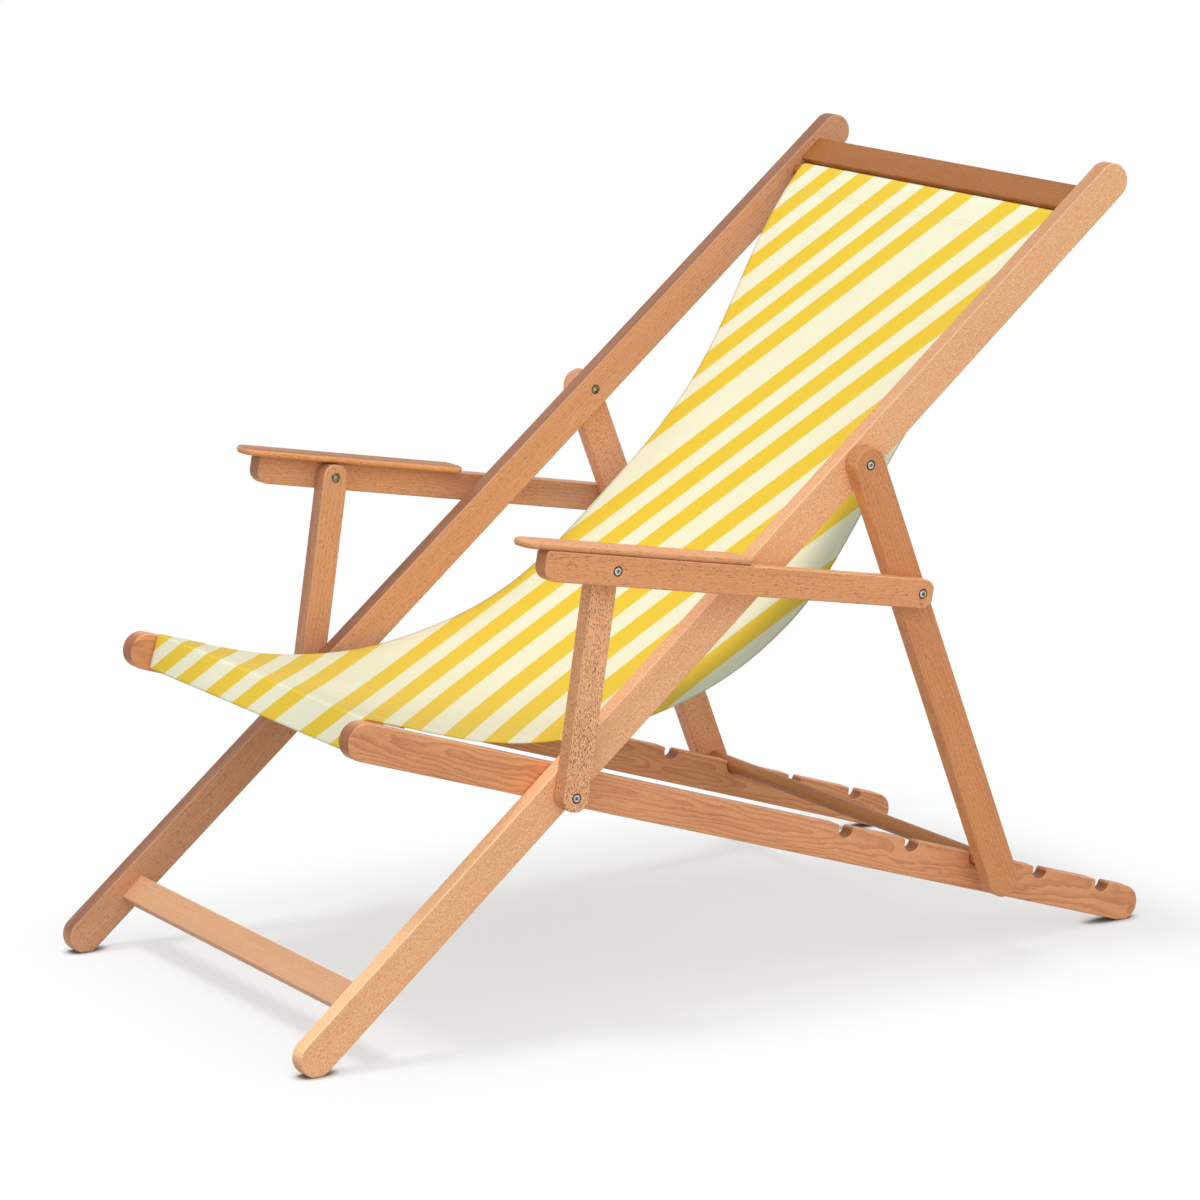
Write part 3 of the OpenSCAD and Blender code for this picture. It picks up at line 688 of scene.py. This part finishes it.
def make_post(side):
    """Arm post, with painted shade on its narrow faces."""
    angle, span = reach(SEAT_PIVOT, ARM_PIVOT)
    low_tip, top_tip = 13.5 * MM, 13 * MM
    outline = rail_outline(0, span, sizes().post_width, first_tip=low_tip, last_tip=top_tip)
    holes = [{"at": (0, 0), **OUTER}, {"at": (span, 0), **INNER}]

    def painted_shading(points, facing):
        return 0.5 * smooth(np.abs(facing[:, 1]), 0.4, 0.95)

    side_board("arm_post", side, SEAT_PIVOT, angle, outline, ("flecked", "far_side_shaded"), holes, 7.9, painted_shading)


def arm_outline(span, height, front, rear):
    """Arm rail: a well rounded lower front corner, a lightly rounded upper one, and a round rear
    end that is cut off flat."""
    low, nose, brow = -height / 2, 13 * MM, 5 * MM
    cut = math.degrees(math.acos(rear / (height / 2)))
    return np.concatenate([
        arc((nose - front, low + nose), nose, 180, 270, 16),
        arc((span, 0), height / 2, -90, -cut, 14),
        arc((span, 0), height / 2, cut, 90, 14),
        arc((brow - front, -low - brow), brow, 90, 180, 9)])


def make_arm(side):
    """Arm rail, with painted shade on its front tip. The right one has a painted shadow of its board, darker
    towards the board.
    """
    height = sizes().arm_height
    angle, span = reach(ARM_PIVOT, ELBOW)
    front_reach, rear_tip = 80 * MM, 12.5 * MM
    outline = arm_outline(span, height, front_reach, rear_tip)
    holes = [{"at": (0, 0), **OUTER}, {"at": (span, 0), **OUTER}]

    def painted_shading(points, facing):
        below_board = 0.0 if side == "left" else 0.2 * smooth(points[:, 1], -0.4 * height, 0.5 * height)
        return below_board + 0.5 * smooth(-facing[:, 0], 0.3, 0.95)

    side_board("arm_rail", side, ARM_PIVOT, angle, outline, ("dashed", "far_side_shaded"), holes, 11.3, painted_shading)


def board_outline(front, rear, inner, outer):
    """Armrest board seen from above: well rounded front corners, lightly rounded rear ones."""
    nose, tail = 14 * MM, 9 * MM
    corners = ((nose - front, inner + nose, nose, 180), (rear - tail, inner + tail, tail, 270),
               (rear - tail, outer - tail, tail, 0), (nose - front, outer - nose, nose, 90))
    return np.concatenate([arc((a, b), r, turn, turn + 90, 12) for a, b, r, turn in corners])


def make_armrest(side):
    """Armrest board, with painted shade below. The right one has painted shade on top as well."""
    front_reach, rear_reach, rounding = 103 * MM, 153 * MM, 3.2 * MM
    angle = slope(ELBOW - ARM_PIVOT)
    lowest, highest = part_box("armrest_left")
    outline = board_outline(front_reach, rear_reach, lowest.x, highest.x)
    lengthwise, upwards = plane_axes(angle)
    origin = (0, *(ARM_PIVOT + along(angle, 0, sizes().arm_height / 2)))

    def painted_shading(points, facing):
        under = 0.4 * smooth(-facing[:, 2], 0.1, 0.6)
        return under if side == "left" else under + 0.8 * smooth(facing[:, 2], 0.3, 0.9)

    piece = board(f"armrest_wood_{side}", outline, sizes().board_thickness, origin,
                  [lengthwise, (SIDES[side], 0, 0), upwards], "dashed", f"arm_{side}", rounding=rounding,
                  seed=13.1 + SIDES[side], painted_shading=painted_shading)
    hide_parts(f"armrest_{side}")


# Cloth

def run_along(path):
    """Distance of each point of a path from its first point, along the path."""
    return np.concatenate([[0], np.cumsum(np.linalg.norm(np.diff(path, axis=0), axis=1))])


class Sling:
    """The cloth's centre line in the side plane, with the pull points of the CAD sling."""

    gap = 0.9 * MM
    pulls = {"seat": 235 * MM, "hang": (217 * MM, 17 * MM), "back": (39 * MM, -128 * MM),
             "head": 208 * MM, "slope": math.radians(48.5)}
    bar = np.array([FRONT_WIDTH, FRONT_HEIGHT]) / 2 - FRONT_ROUNDING
    corner = FRONT_ROUNDING + gap
    loop = ROD_RADIUS + gap
    front_lap = {"reach": 27 * MM, "depth": 1.35 * MM, "fillet": 3 * MM}
    head_lap = {"from": 23 * MM, "to": 32 * MM, "depth": 1.7 * MM}

    def __init__(self):
        self.tilt = rail_line("seat_rail_left", False)[1]
        self.front_edge = FRONT_BAR + along(self.tilt, self.bar[0], self.bar[1] + self.corner)
        self.head_edge = HEM_ROD + along(self.pulls["slope"], 0, self.loop)
        self.path = self.sag(221)
        self.run = run_along(self.path)

    def sag(self, count):
        """A Bezier curve of degree five from the crossbar to the rod, by repeated mixing."""
        points = [self.front_edge, self.front_edge + along(self.tilt, self.pulls["seat"]),
                  SEAT_PIVOT + self.pulls["hang"], PROP_PIVOT + self.pulls["back"],
                  self.head_edge - along(self.pulls["slope"], self.pulls["head"]), self.head_edge]
        t = np.linspace(0, 1, count)[:, None]
        level = [np.broadcast_to(p, (count, 2)) for p in points]
        while len(level) > 1:
            level = [a * (1 - t) + b * t for a, b in zip(level, level[1:])]
        return level[0]

    def below(self, first, last, count, depth):
        """Points at a depth under the sag, between two distances along it."""
        point, before, after = (
            np.column_stack([np.interp(np.linspace(first, last, count) + shift, self.run, line)
                             for line in self.path.T]) for shift in (0, -MM, MM))
        return point - depth * left_of(unit(after - before))

    def front_hem(self):
        """From the seam under the seat, down behind the crossbar, under it and up its front."""
        x, y = self.bar
        fillet = self.front_lap["fillet"]
        behind = x + self.corner + fillet
        lap = self.below(self.front_lap["reach"], behind - x, 8, self.front_lap["depth"])
        top = local(lap[-1], FRONT_BAR, self.tilt)[1]
        path = [arc((behind, top - fillet), fillet, 90, 180, 5)[1:]]
        for a, b, turn in ((x, -y, 0), (-x, -y, -90), (-x, y, -180)):
            path.append(arc((a, b), self.corner, turn, turn - 90, 6))
        return np.concatenate([lap, [FRONT_BAR + along(self.tilt, s, h) for s, h in np.concatenate(path)]])

    def head_hem(self):
        """Round the rod, then back to a seam under the cloth."""
        lap = self.head_lap
        flap = self.below(self.run[-1] - lap["from"], self.run[-1] - lap["to"], 5, lap["depth"]) - HEM_ROD
        leave = math.degrees(slope(flap[0]) + math.acos(self.loop / np.linalg.norm(flap[0])))
        first = math.degrees(self.pulls["slope"]) + 90
        while leave > first - 180:
            leave -= 360
        wrap = arc((0, 0), self.loop, first, leave, 30)[1:]
        return HEM_ROD + np.concatenate([wrap, np.linspace(wrap[-1], flap[0], 8)[1:], flap[1:]])


def half_width(t):
    """Half the cloth's width over the sag, t from 0 at the crossbar to 1 at the rod: pinched
    between the seat rails, full over the seat and the head, and drawn in along the back."""
    pinch, margin, waist = 2.5 * MM, 12 * MM, 13.5 * MM
    front, full = layer("seat_rail_left") - pinch, layer("main_rail_left") - margin
    drawn_in = np.where(t > 0.5, waist * (1 - np.cos(4 * np.pi * (t - 0.5))), 0)
    return front + (full - front) * smooth(t, 0, 0.15) - drawn_in


STRIPE_PLANES = {"normal": (0.4617, 0.4233, -0.7795), "middle": -0.3445, "spread": 0.497, "start": -0.0067}


def stripe_place(points):
    """Distance of each point from the stripes' first plane, drawn out a little towards the seat:
    log(1 + k d) / k for the distance d."""
    planes = STRIPE_PLANES
    distance = points @ np.array(planes["normal"]) - planes["middle"]
    return np.log1p(planes["spread"] * distance) / planes["spread"] - planes["start"]


def canvas():
    """Woven canvas: yellow stripes on cream in groups of six, a fine weave, soft colour drift."""
    material, tree, shader = new_material(
        "striped_canvas", 0.88, Specular_IOR_Level=0.15, Sheen_Weight=0.12, Sheen_Roughness=0.5)
    place = attribute(tree, "cloth")
    x, y, stripe = add_node(tree, "SeparateXYZ", {0: place}).outputs
    pitch, width, rest = sizes().stripe_pitch, sizes().stripe, sizes().stripe_rest
    gap = pitch - width
    group = 6 * pitch + rest + sizes().wide_cream - gap
    along_group = calc("FLOORED_MODULO", calc("ADD", stripe, gap / 2), group)
    late = calc("GREATER_THAN", along_group, 3 * pitch + rest / 2)
    along_group = calc("MULTIPLY_ADD", late, -rest, along_group)
    from_middle = calc("ABSOLUTE", calc("SUBTRACT", calc("FLOORED_MODULO", along_group, pitch), pitch / 2))
    soft_edge, thread_pitch = 0.4 * MM, 1.1 * MM
    dyed = ramp(from_middle, width / 2 + soft_edge, width / 2 - soft_edge)
    dyed = times(dyed, calc("LESS_THAN", along_group, 6 * pitch))
    drift = ramp(noise(place, (14, 14, 0), detail=2), 0.3, 0.7, 0, 0.25)
    yellow = mix(drift, rgba(colours().yellow), rgba((0.90, 0.60, 0.03)))
    cream = mix(drift, rgba(colours().cream), rgba((0.90, 0.87, 0.60)))
    colour = mix(dyed, cream, yellow)
    turns = 2 * math.pi / thread_pitch
    weave = times(*(calc("SINE", times(a, turns)) for a in (x, y)))
    slub = noise(place, (900, 60, 0), detail=2)
    colour = mix(calc("MULTIPLY_ADD", weave, 0.05, 0.05), colour, rgba((0.55, 0.48, 0.25)))
    # Painted shade: the cloth's shading field darkens the stripes.
    painted_shading = times(attribute(tree, "painted_shading", "Fac"), 0.9)
    colour = mix(painted_shading, colour, rgba((0.40, 0.47, 0.48)), "MULTIPLY")
    height = calc("MULTIPLY_ADD", slub, 0.6, times(weave, 0.5))
    connect(shader, colour, height, 0.15 * MM, 0.5)
    return material


HANG = {"hollow": 4.0 * MM, "head_fold": 0.8 * MM, "front_fold": 1.2 * MM, "curl": 1.4 * MM,
        "curl_pitch": 0.31, "droop": 2.5 * MM}


class Cloth:
    """The cloth's surface: the centre line carried across, with a shallow hollow between the
    edges, edges that droop beside the seat and curl a little along the back, and faint pull
    folds that start at the rod and at the crossbar."""

    def __init__(self):
        line = Sling()
        front, sag, head = line.front_hem(), line.path, line.head_hem()
        self.path = np.concatenate([front, sag, head])
        self.run = run_along(self.path)
        self.start, self.end = self.run[len(front)], self.run[len(front) + len(sag) - 1]
        self.tangent = unit(np.gradient(self.path, axis=0))
        self.normal = left_of(self.tangent)
        t = np.concatenate([np.zeros(len(front)), np.linspace(0, 1, len(sag)), np.ones(len(head))])
        self.half = half_width(t)
        t, u = t[:, None], np.linspace(-1, 1, 97)[None]
        lift = self.lift(t, u)
        # Painted shade: soft fold bands across the front of the seat, and a band along the edges beside the
        # seat and the back, full along the +X edge and faint along the other.
        front_fold_shade = 0.22 * (0.6 + 0.4 * np.sin(3.2 * u - 1.2)) * smooth(t, 0.3, 0.08)
        beside = smooth(t, 0.2, 0.35) * smooth(t, 0.85, 0.6)
        self.painted_shading = front_fold_shade + beside * np.where(u > 0, 1.0, 0.1) * smooth(np.abs(u), 0.66, 0.96)
        self.x = self.half[:, None] * u
        self.y = self.path[:, :1] + self.normal[:, :1] * lift
        self.z = self.path[:, 1:] + self.normal[:, 1:] * lift

    def lift(self, t, u):
        """Height over the centre line, for t from 0 at the crossbar to 1 at the rod, and u from
        -1 to 1 across."""
        free = np.sin(np.pi * t) ** 0.7
        hollow = -HANG["hollow"] * (1 - u ** 2) * free
        near_head = np.exp(-(1 - t) / 0.07) * smooth(1 - t, 0.02, 0.06)
        near_front = np.exp(-t / 0.1) * smooth(t, 0.02, 0.05)
        folds = np.sin(23 * u + 1.1) + 0.6 * np.sin(41 * u + 0.4) + 0.4 * np.sin(67 * u)
        ripple = HANG["head_fold"] * folds * near_head + HANG["front_fold"] * folds[:, ::-1] * near_front
        edge = 1 - np.abs(u)
        waves = np.sin(2 * np.pi * self.run[:, None] / HANG["curl_pitch"])
        curl = HANG["curl"] * np.exp(-edge / 0.035) * free * waves
        droop = -HANG["droop"] * np.exp(-edge / 0.1) * smooth(t, 0.03, 0.1) * smooth(t, 0.32, 0.2)
        return hollow + ripple + curl + droop

    def above(self, distance, xs, height):
        """Points at a height over the cloth, at a distance along its hems and sag."""
        row = int(np.searchsorted(self.run, distance))
        share = (distance - self.run[row - 1]) / (self.run[row] - self.run[row - 1])
        y, z = ([np.interp(xs, self.x[r], values[r]) for r in (row - 1, row)] for values in (self.y, self.z))
        point = np.stack([xs, y[0] + share * (y[1] - y[0]), z[0] + share * (z[1] - z[0])], axis=1)
        return point + height * np.array([0, *self.normal[row]]), self.tangent[row], self.normal[row]


def make_sling(cloth):
    """The cloth as one sheet with real thickness, in place of the CAD sling."""
    points = np.dstack([cloth.x, cloth.y, cloth.z]).reshape(-1, 3)
    rows, columns = cloth.x.shape
    place = np.stack([cloth.x.ravel(), np.repeat(cloth.run, columns), stripe_place(points)], axis=1)
    fields = {"cloth": place, "painted_shading": cloth.painted_shading.ravel()}
    piece = add_piece("sling_cloth", points, ring_faces(rows, columns, closed=False).tolist(), None, fields,
                      canvas(), None)
    solidify = piece.modifiers.new("thickness", "SOLIDIFY")
    solidify.thickness = sizes().cloth_thickness
    solidify.offset = 0
    solidify.use_even_offset = True
    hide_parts("sling")
    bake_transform(piece)
    return piece


def stitch_rows(name, cloth, distances, body):
    """Rows of stitches across the cloth: each stitch is a short hexagonal thread with tapered
    ends, one section for each of five places along it."""
    length, pitch, radius, margin, height = 2.6 * MM, 4.2 * MM, 0.34 * MM, 5 * MM, 0.68 * MM
    shape = np.array([0.15, 0.8, 1.0, 0.8, 0.15]) * radius
    place = np.linspace(-0.5, 0.5, 5) * length
    ring = circle(1.0, 6) * (1, 0.6)
    one = np.concatenate([np.column_stack([np.full(6, p), r * ring]) for p, r in zip(place, shape)])
    one_faces = ring_faces(5, 6)
    points, faces = [], []
    for distance in distances:
        half = np.interp(distance, cloth.run, cloth.half) - margin
        centres, tangent, normal = cloth.above(distance, np.arange(-half, half, pitch), height)
        basis = np.array([(1, 0, 0), (0, *tangent), (0, *normal)])
        for centre in centres:
            used = 30 * len(points)
            points.append(centre + one @ basis)
            faces += (one_faces + used).tolist()
            faces += ring_ends(5, 6, used)
    return add_piece(name, np.concatenate(points), faces, None, {}, thread(), body)


def thread():
    """Twisted sewing thread, a little darker than the cream."""
    if "sewing_thread" in bpy.data.materials:
        return bpy.data.materials["sewing_thread"]
    material, tree, shader = new_material("sewing_thread", 0.7, Sheen_Weight=0.2)
    twist = noise(own_place(tree), (1800, 400, 400), detail=1)
    colour = mix(ramp(twist, 0.35, 0.65), rgba((0.86, 0.80, 0.52)), rgba((0.66, 0.58, 0.32)))
    connect(shader, colour, twist, 0.1 * MM)
    return material


# Steel

def steel(name, dull, bright):
    """Zinc-plated steel with faint turning marks and dull patches, on object coordinates, and
    painted shade, which is rougher as well, where a bolt head meets the wood and in its socket."""
    material, tree, shader = new_material(name, 0.3, Metallic=1.0)
    marks = noise(own_place(tree), (2600, 2600, 2600), detail=2)
    patches = noise(own_place(tree), (240, 240, 240))
    painted_recess_shade = attribute(tree, "painted_recess_shade", "Fac")
    colour = mix(ramp(patches, 0.3, 0.7), rgba(dull), rgba(bright))
    # Painted shade at the rim of the head and in the socket.
    colour = mix(painted_recess_shade, colour, rgba((0.07, 0.045, 0.03)))
    rough = calc("MULTIPLY_ADD", painted_recess_shade, 0.3, ramp(marks, 0.3, 0.7, 0.22, 0.42))
    connect(shader, colour, marks, 0.04 * MM, 0.5, rough)
    return material


HEAD = {"radius": 4.2 * MM, "seat": -3.0 * MM, "rim": -0.9 * MM, "dome": 1.45 * MM, "socket": 1.5 * MM,
        "socket_floor": -1.4 * MM, "shank": 2.5 * MM}
BOLT_TURNS = 48


def bolt_rings(length):
    """Rings of a bolt whose axis is the thickness: shank, head, an elliptic dome and a hexagonal
    socket, whose radius is the apothem over the cosine of the angle from its nearest flat."""
    turns = np.radians(np.arange(BOLT_TURNS) * 360 / BOLT_TURNS)
    socket = HEAD["socket"] / np.cos((turns + math.pi / 6) % (math.pi / 3) - math.pi / 6)
    shank, head, seat = HEAD["shank"], HEAD["radius"], HEAD["seat"]
    rings = [(0.8 * shank, -length), (shank, 0.5 * MM - length), (shank, seat), (head, seat)]
    rings += [(head * math.cos(a), HEAD["rim"] + HEAD["dome"] * math.sin(a))
              for a in np.linspace(0, math.radians(60), 8)]
    rings += [(socket, rings[-1][1] - 0.15 * MM), (socket, HEAD["socket_floor"])]
    around = np.stack([np.cos(turns), np.sin(turns)], axis=1)
    points = [np.column_stack([np.reshape(r, (-1, 1)) * around, np.full(BOLT_TURNS, z)]) for r, z in rings]
    return np.concatenate(points), len(rings)


def make_bolts(node, bolts, sides=SIDES):
    """The bolts of one node. Each bolt is (place in the side plane, outer face, length)."""
    points, faces, painted_recess_shade = [], [], []
    used = 0
    for at, face, length in bolts:
        rings, rows = bolt_rings(length)
        from_axis = np.hypot(rings[:, 0], rings[:, 1])
        # Painted shade on the outer rim of the head and in its socket.
        rim_and_socket_shade = np.maximum(smooth(from_axis, 0.72 * HEAD["radius"], 0.95 * HEAD["radius"]),
                           smooth(from_axis, 1.15 * HEAD["socket"], 0.9 * HEAD["socket"]))
        for side in sides:
            points.append(np.column_stack([SIDES[side] * (face + rings[:, 2]), rings[:, :2] + at]))
            painted_recess_shade.append(rim_and_socket_shade)
            loops = ring_faces(rows, BOLT_TURNS, used).tolist()
            loops += ring_ends(rows, BOLT_TURNS, used)
            faces += loops if side == "left" else [f[::-1] for f in loops]
            used += len(rings)
    piece = add_piece(node + "_steel", np.concatenate(points), faces, None, {"painted_recess_shade": np.concatenate(painted_recess_shade)},
                      bpy.data.materials["zinc_plated_steel"], owner(node))
    piece.data.set_sharp_from_angle(angle=math.radians(35))
    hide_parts(node)


# Operators

class DECKCHAIR_OT_main_frame(bpy.types.Operator):
    """Makes the main rails, the top crossbar, the hem rod and the foot stretcher"""

    bl_idname = "deckchair.main_frame"
    bl_label = "Main frame"

    def execute(self, context):
        for side in SIDES:
            make_main_rail(side)
        angle, half = rail_line("main_rail_left", True)[1], layer("main_rail_left")
        cross_bar("top_crossbar", TOP_BAR, angle, half, "dark", 3.1)
        cross_bar("foot_stretcher", STRETCHER, angle, half, "soft", 6.3)
        cross_bar("hem_rod", HEM_ROD, angle, half, "dark", 9.7)
        return {"FINISHED"}


class DECKCHAIR_OT_seat_frame(bpy.types.Operator):
    """Makes the notched seat rails and the front crossbar"""

    bl_idname = "deckchair.seat_frame"
    bl_label = "Seat frame"

    def execute(self, context):
        for side in SIDES:
            make_seat_rail(side)
        angle, half = rail_line("seat_rail_left", False)[1], layer("seat_rail_left")
        cross_bar("front_crossbar", FRONT_BAR, angle, half, "warm", 12.9)
        return {"FINISHED"}


class DECKCHAIR_OT_prop(bpy.types.Operator):
    """Makes the prop legs and the crossbar that drops into the notches"""

    bl_idname = "deckchair.prop"
    bl_label = "Prop"

    def execute(self, context):
        for side in SIDES:
            make_prop_leg(side)
        angle, half = slope(PROP_BAR - PROP_PIVOT), layer("prop_leg_left")
        cross_bar("prop_crossbar", PROP_BAR, angle, half, "deep", 15.2)
        return {"FINISHED"}


class DECKCHAIR_OT_arms(bpy.types.Operator):
    """Makes the arm posts, the arm rails and the armrest boards"""

    bl_idname = "deckchair.arms"
    bl_label = "Arms"

    def execute(self, context):
        for side in SIDES:
            make_post(side)
            make_arm(side)
            make_armrest(side)
        return {"FINISHED"}


class DECKCHAIR_OT_sling(bpy.types.Operator):
    """Makes the striped cloth with its hems and stitches"""

    bl_idname = "deckchair.sling"
    bl_label = "Sling"

    def execute(self, context):
        cloth = Cloth()
        piece = make_sling(cloth)
        seams = [cloth.start + d * MM for d in (18, 22)]
        front = stitch_rows("front_hem_stitches", cloth, seams, "seat_frame")
        seams = [cloth.end - d * MM for d in (25, 29)]
        head = stitch_rows("head_hem_stitches", cloth, seams, "main_frame")
        return {"FINISHED"}


class DECKCHAIR_OT_fasteners(bpy.types.Operator):
    """Gives the bolts, nuts, washers and screws of the frame their steel"""

    bl_idname = "deckchair.fasteners"
    bl_label = "Fasteners"

    def execute(self, context):
        steel("zinc_plated_steel", (0.34, 0.33, 0.31), (0.66, 0.64, 0.61))
        # A darker copy of the steel, as painted shade, for the CAD metal parts that stay.
        pocket_shaded = steel("pocket_shaded_steel", (0.09, 0.075, 0.065), (0.38, 0.36, 0.33))
        slots = {p["node"]: p["material_slot"] for p in frame["record"]["subparts"]}
        for name, node in frame["nodes"].items():
            if slots[name] == "metal":
                node.data.materials.clear()
                node.data.materials.append(pocket_shaded)
        leg_face = layer("prop_leg_left") + WOOD
        arm_face = layer("arm_rail_left") + WOOD
        sunk = 1 * MM
        make_bolts("seat_pivot_bolts", [(SEAT_PIVOT, leg_face, leg_face - layer("seat_rail_left") - sunk)])
        make_bolts("prop_pivot_bolts", [(PROP_PIVOT, leg_face, leg_face - layer("main_rail_left") - sunk)])
        for side in SIDES:
            make_bolts(f"arm_bolts_{side}", [(ARM_PIVOT, arm_face, arm_face - layer("prop_leg_left") - sunk),
                                             (ELBOW, arm_face, WOOD)], [side])
        return {"FINISHED"}


CAMERA = {"at": (3.9593, -2.5348, 1.3844), "azimuth": 57.53, "elevation": 12.456, "roll": 0.167,
          "lens": 145.85}
SUN = {"strength": 0.95, "soft": 16.0, "azimuth": -30.0, "elevation": 73.0}
FILL = {"strength": 1.4, "soft": 90.0, "azimuth": 52.0, "elevation": 24.0}
AMBIENT = 0.56
FLOOR_BOUNCE = 0.5
FLOOR_GLOW = 0.5
OUTER_GLOW = 0.95
CONTACT = 0.014
GROUND = {"middle": (0.0, 0.02), "reach": (0.27, 0.46), "fade": 0.16}


def aim(azimuth, elevation, roll=0.0):
    """Turns a camera or a lamp to look from that side, and that far above the horizon, in degrees."""
    a, e = math.radians(azimuth), math.radians(elevation)
    back = Vector((math.sin(a) * math.cos(e), -math.cos(a) * math.cos(e), math.sin(e)))
    turn = (-back).to_track_quat("-Z", "Y").to_matrix().to_4x4()
    return turn @ Matrix.Rotation(math.radians(roll), 4, "Z")


def add_sun(name, strength, soft, azimuth, elevation):
    lamp = bpy.data.lights.new(name, "SUN")
    lamp.energy = strength
    lamp.angle = math.radians(soft)
    new_object(name, lamp).matrix_world = aim(azimuth, elevation)


def seen_straight(tree):
    """1 for a ray from the camera, from a mirror or through glass, and 0 for any other."""
    ray = add_node(tree, "LightPath").outputs
    return calc("MAXIMUM", ray["Is Camera Ray"],
                calc("MAXIMUM", ray["Is Glossy Ray"], ray["Is Transmission Ray"]))


def studio_floor():
    """Pale matt floor. Seen straight or in a reflection it glows a little, so that the chair's
    shadow stays light, and it glows nearly white beyond the ground that the chair covers. Its
    colour carries a painted contact shadow, from ambient occlusion, only where something stands
    within a few centimetres of it."""
    material, tree, shader = new_material("studio_floor", 0.9, Specular_IOR_Level=0.1)
    seen = seen_straight(tree)
    open_above = add_node(tree, "AmbientOcclusion", {"Distance": CONTACT}, samples=8).outputs["AO"]
    clear = ramp(open_above, 0.35, 0.95)
    pale = mix(clear, rgba((0.3, 0.3, 0.3)), rgba(colours().floor))
    tree.links.new(mix(seen, rgba([FLOOR_BOUNCE] * 3), pale), shader.inputs["Base Color"])
    from_middle = vector("ABSOLUTE", vector("SUBTRACT", own_place(tree), (*GROUND["middle"], 0)))
    beyond = vector("MAXIMUM", vector("SUBTRACT", from_middle, (*GROUND["reach"], 0)), (0, 0, 0))
    distance = vector("LENGTH", beyond, output="Value")
    glow = times(times(ramp(distance, 0.0, GROUND["fade"], FLOOR_GLOW, OUTER_GLOW), seen), clear)
    white = add_node(tree, "Emission", {"Color": (1, 1, 1, 1), "Strength": 1.0}).outputs[0]
    blend = add_node(tree, "MixShader", {0: glow, 1: shader.outputs[0], 2: white}).outputs[0]
    tree.links.new(blend, tree.nodes["Material Output"].inputs["Surface"])
    return material


class DECKCHAIR_OT_stage(bpy.types.Operator):
    """Makes the pale floor, the soft light and the camera at the photograph's angle"""

    bl_idname = "deckchair.stage"
    bl_label = "Stage"

    def execute(self, context):
        scene = context.scene
        scene.view_settings.view_transform = "Standard"
        radius, count = 30.0, 64
        mesh = bpy.data.meshes.new("studio_floor")
        mesh.from_pydata([(x, y, 0.0) for x, y in circle(radius, count)], [], [list(range(count))])
        mesh.materials.append(studio_floor())
        new_object("studio_floor", mesh)

        add_sun("key_light", **SUN)
        add_sun("fill_light", **FILL)
        world = bpy.data.worlds.new("studio_world")
        world.use_nodes = True
        scene.world = world
        tree = world.node_tree
        background = tree.nodes["Background"]
        background.inputs["Color"].default_value = (1, 1, 1, 1)
        strength = calc("MULTIPLY_ADD", seen_straight(tree), 1 - AMBIENT, AMBIENT)
        tree.links.new(strength, background.inputs["Strength"])

        camera = new_object("photo_camera", bpy.data.cameras.new("photo_camera"))
        camera.data.sensor_width = 36
        camera.data.lens = CAMERA["lens"]
        camera.data.clip_start, camera.data.clip_end = 0.1, 100
        turn = aim(CAMERA["azimuth"], CAMERA["elevation"], CAMERA["roll"])
        camera.matrix_world = Matrix.Translation(CAMERA["at"]) @ turn
        scene.camera = camera
        return {"FINISHED"}


OPERATORS = (DECKCHAIR_OT_main_frame, DECKCHAIR_OT_seat_frame, DECKCHAIR_OT_prop, DECKCHAIR_OT_arms,
             DECKCHAIR_OT_sling, DECKCHAIR_OT_fasteners, DECKCHAIR_OT_stage)


class DECKCHAIR_PT_panel(bpy.types.Panel):
    """Lists the deck chair's sizes, colours and steps"""

    bl_label = "Deck chair"
    bl_space_type = "VIEW_3D"
    bl_region_type = "UI"
    bl_category = "Deck chair"

    def draw(self, context):
        for group in (context.scene.deck_chair_sizes, context.scene.deck_chair_colours):
            for name in group.__annotations__:
                self.layout.prop(group, name)
        for operator in OPERATORS:
            self.layout.operator(operator.bl_idname)


CLASSES = (DeckChairSizes, DeckChairColours, *OPERATORS, DECKCHAIR_PT_panel)


def register():
    for cls in CLASSES:
        bpy.utils.register_class(cls)
    bpy.types.Scene.deck_chair_sizes = bpy.props.PointerProperty(type=DeckChairSizes)
    bpy.types.Scene.deck_chair_colours = bpy.props.PointerProperty(type=DeckChairColours)


def unregister():
    del bpy.types.Scene.deck_chair_sizes
    del bpy.types.Scene.deck_chair_colours
    for cls in reversed(CLASSES):
        bpy.utils.unregister_class(cls)


def main():
    register()
    for operator in OPERATORS:
        group, name = operator.bl_idname.split(".")
        getattr(getattr(bpy.ops, group), name)()


if __name__ == "__main__":
    main()
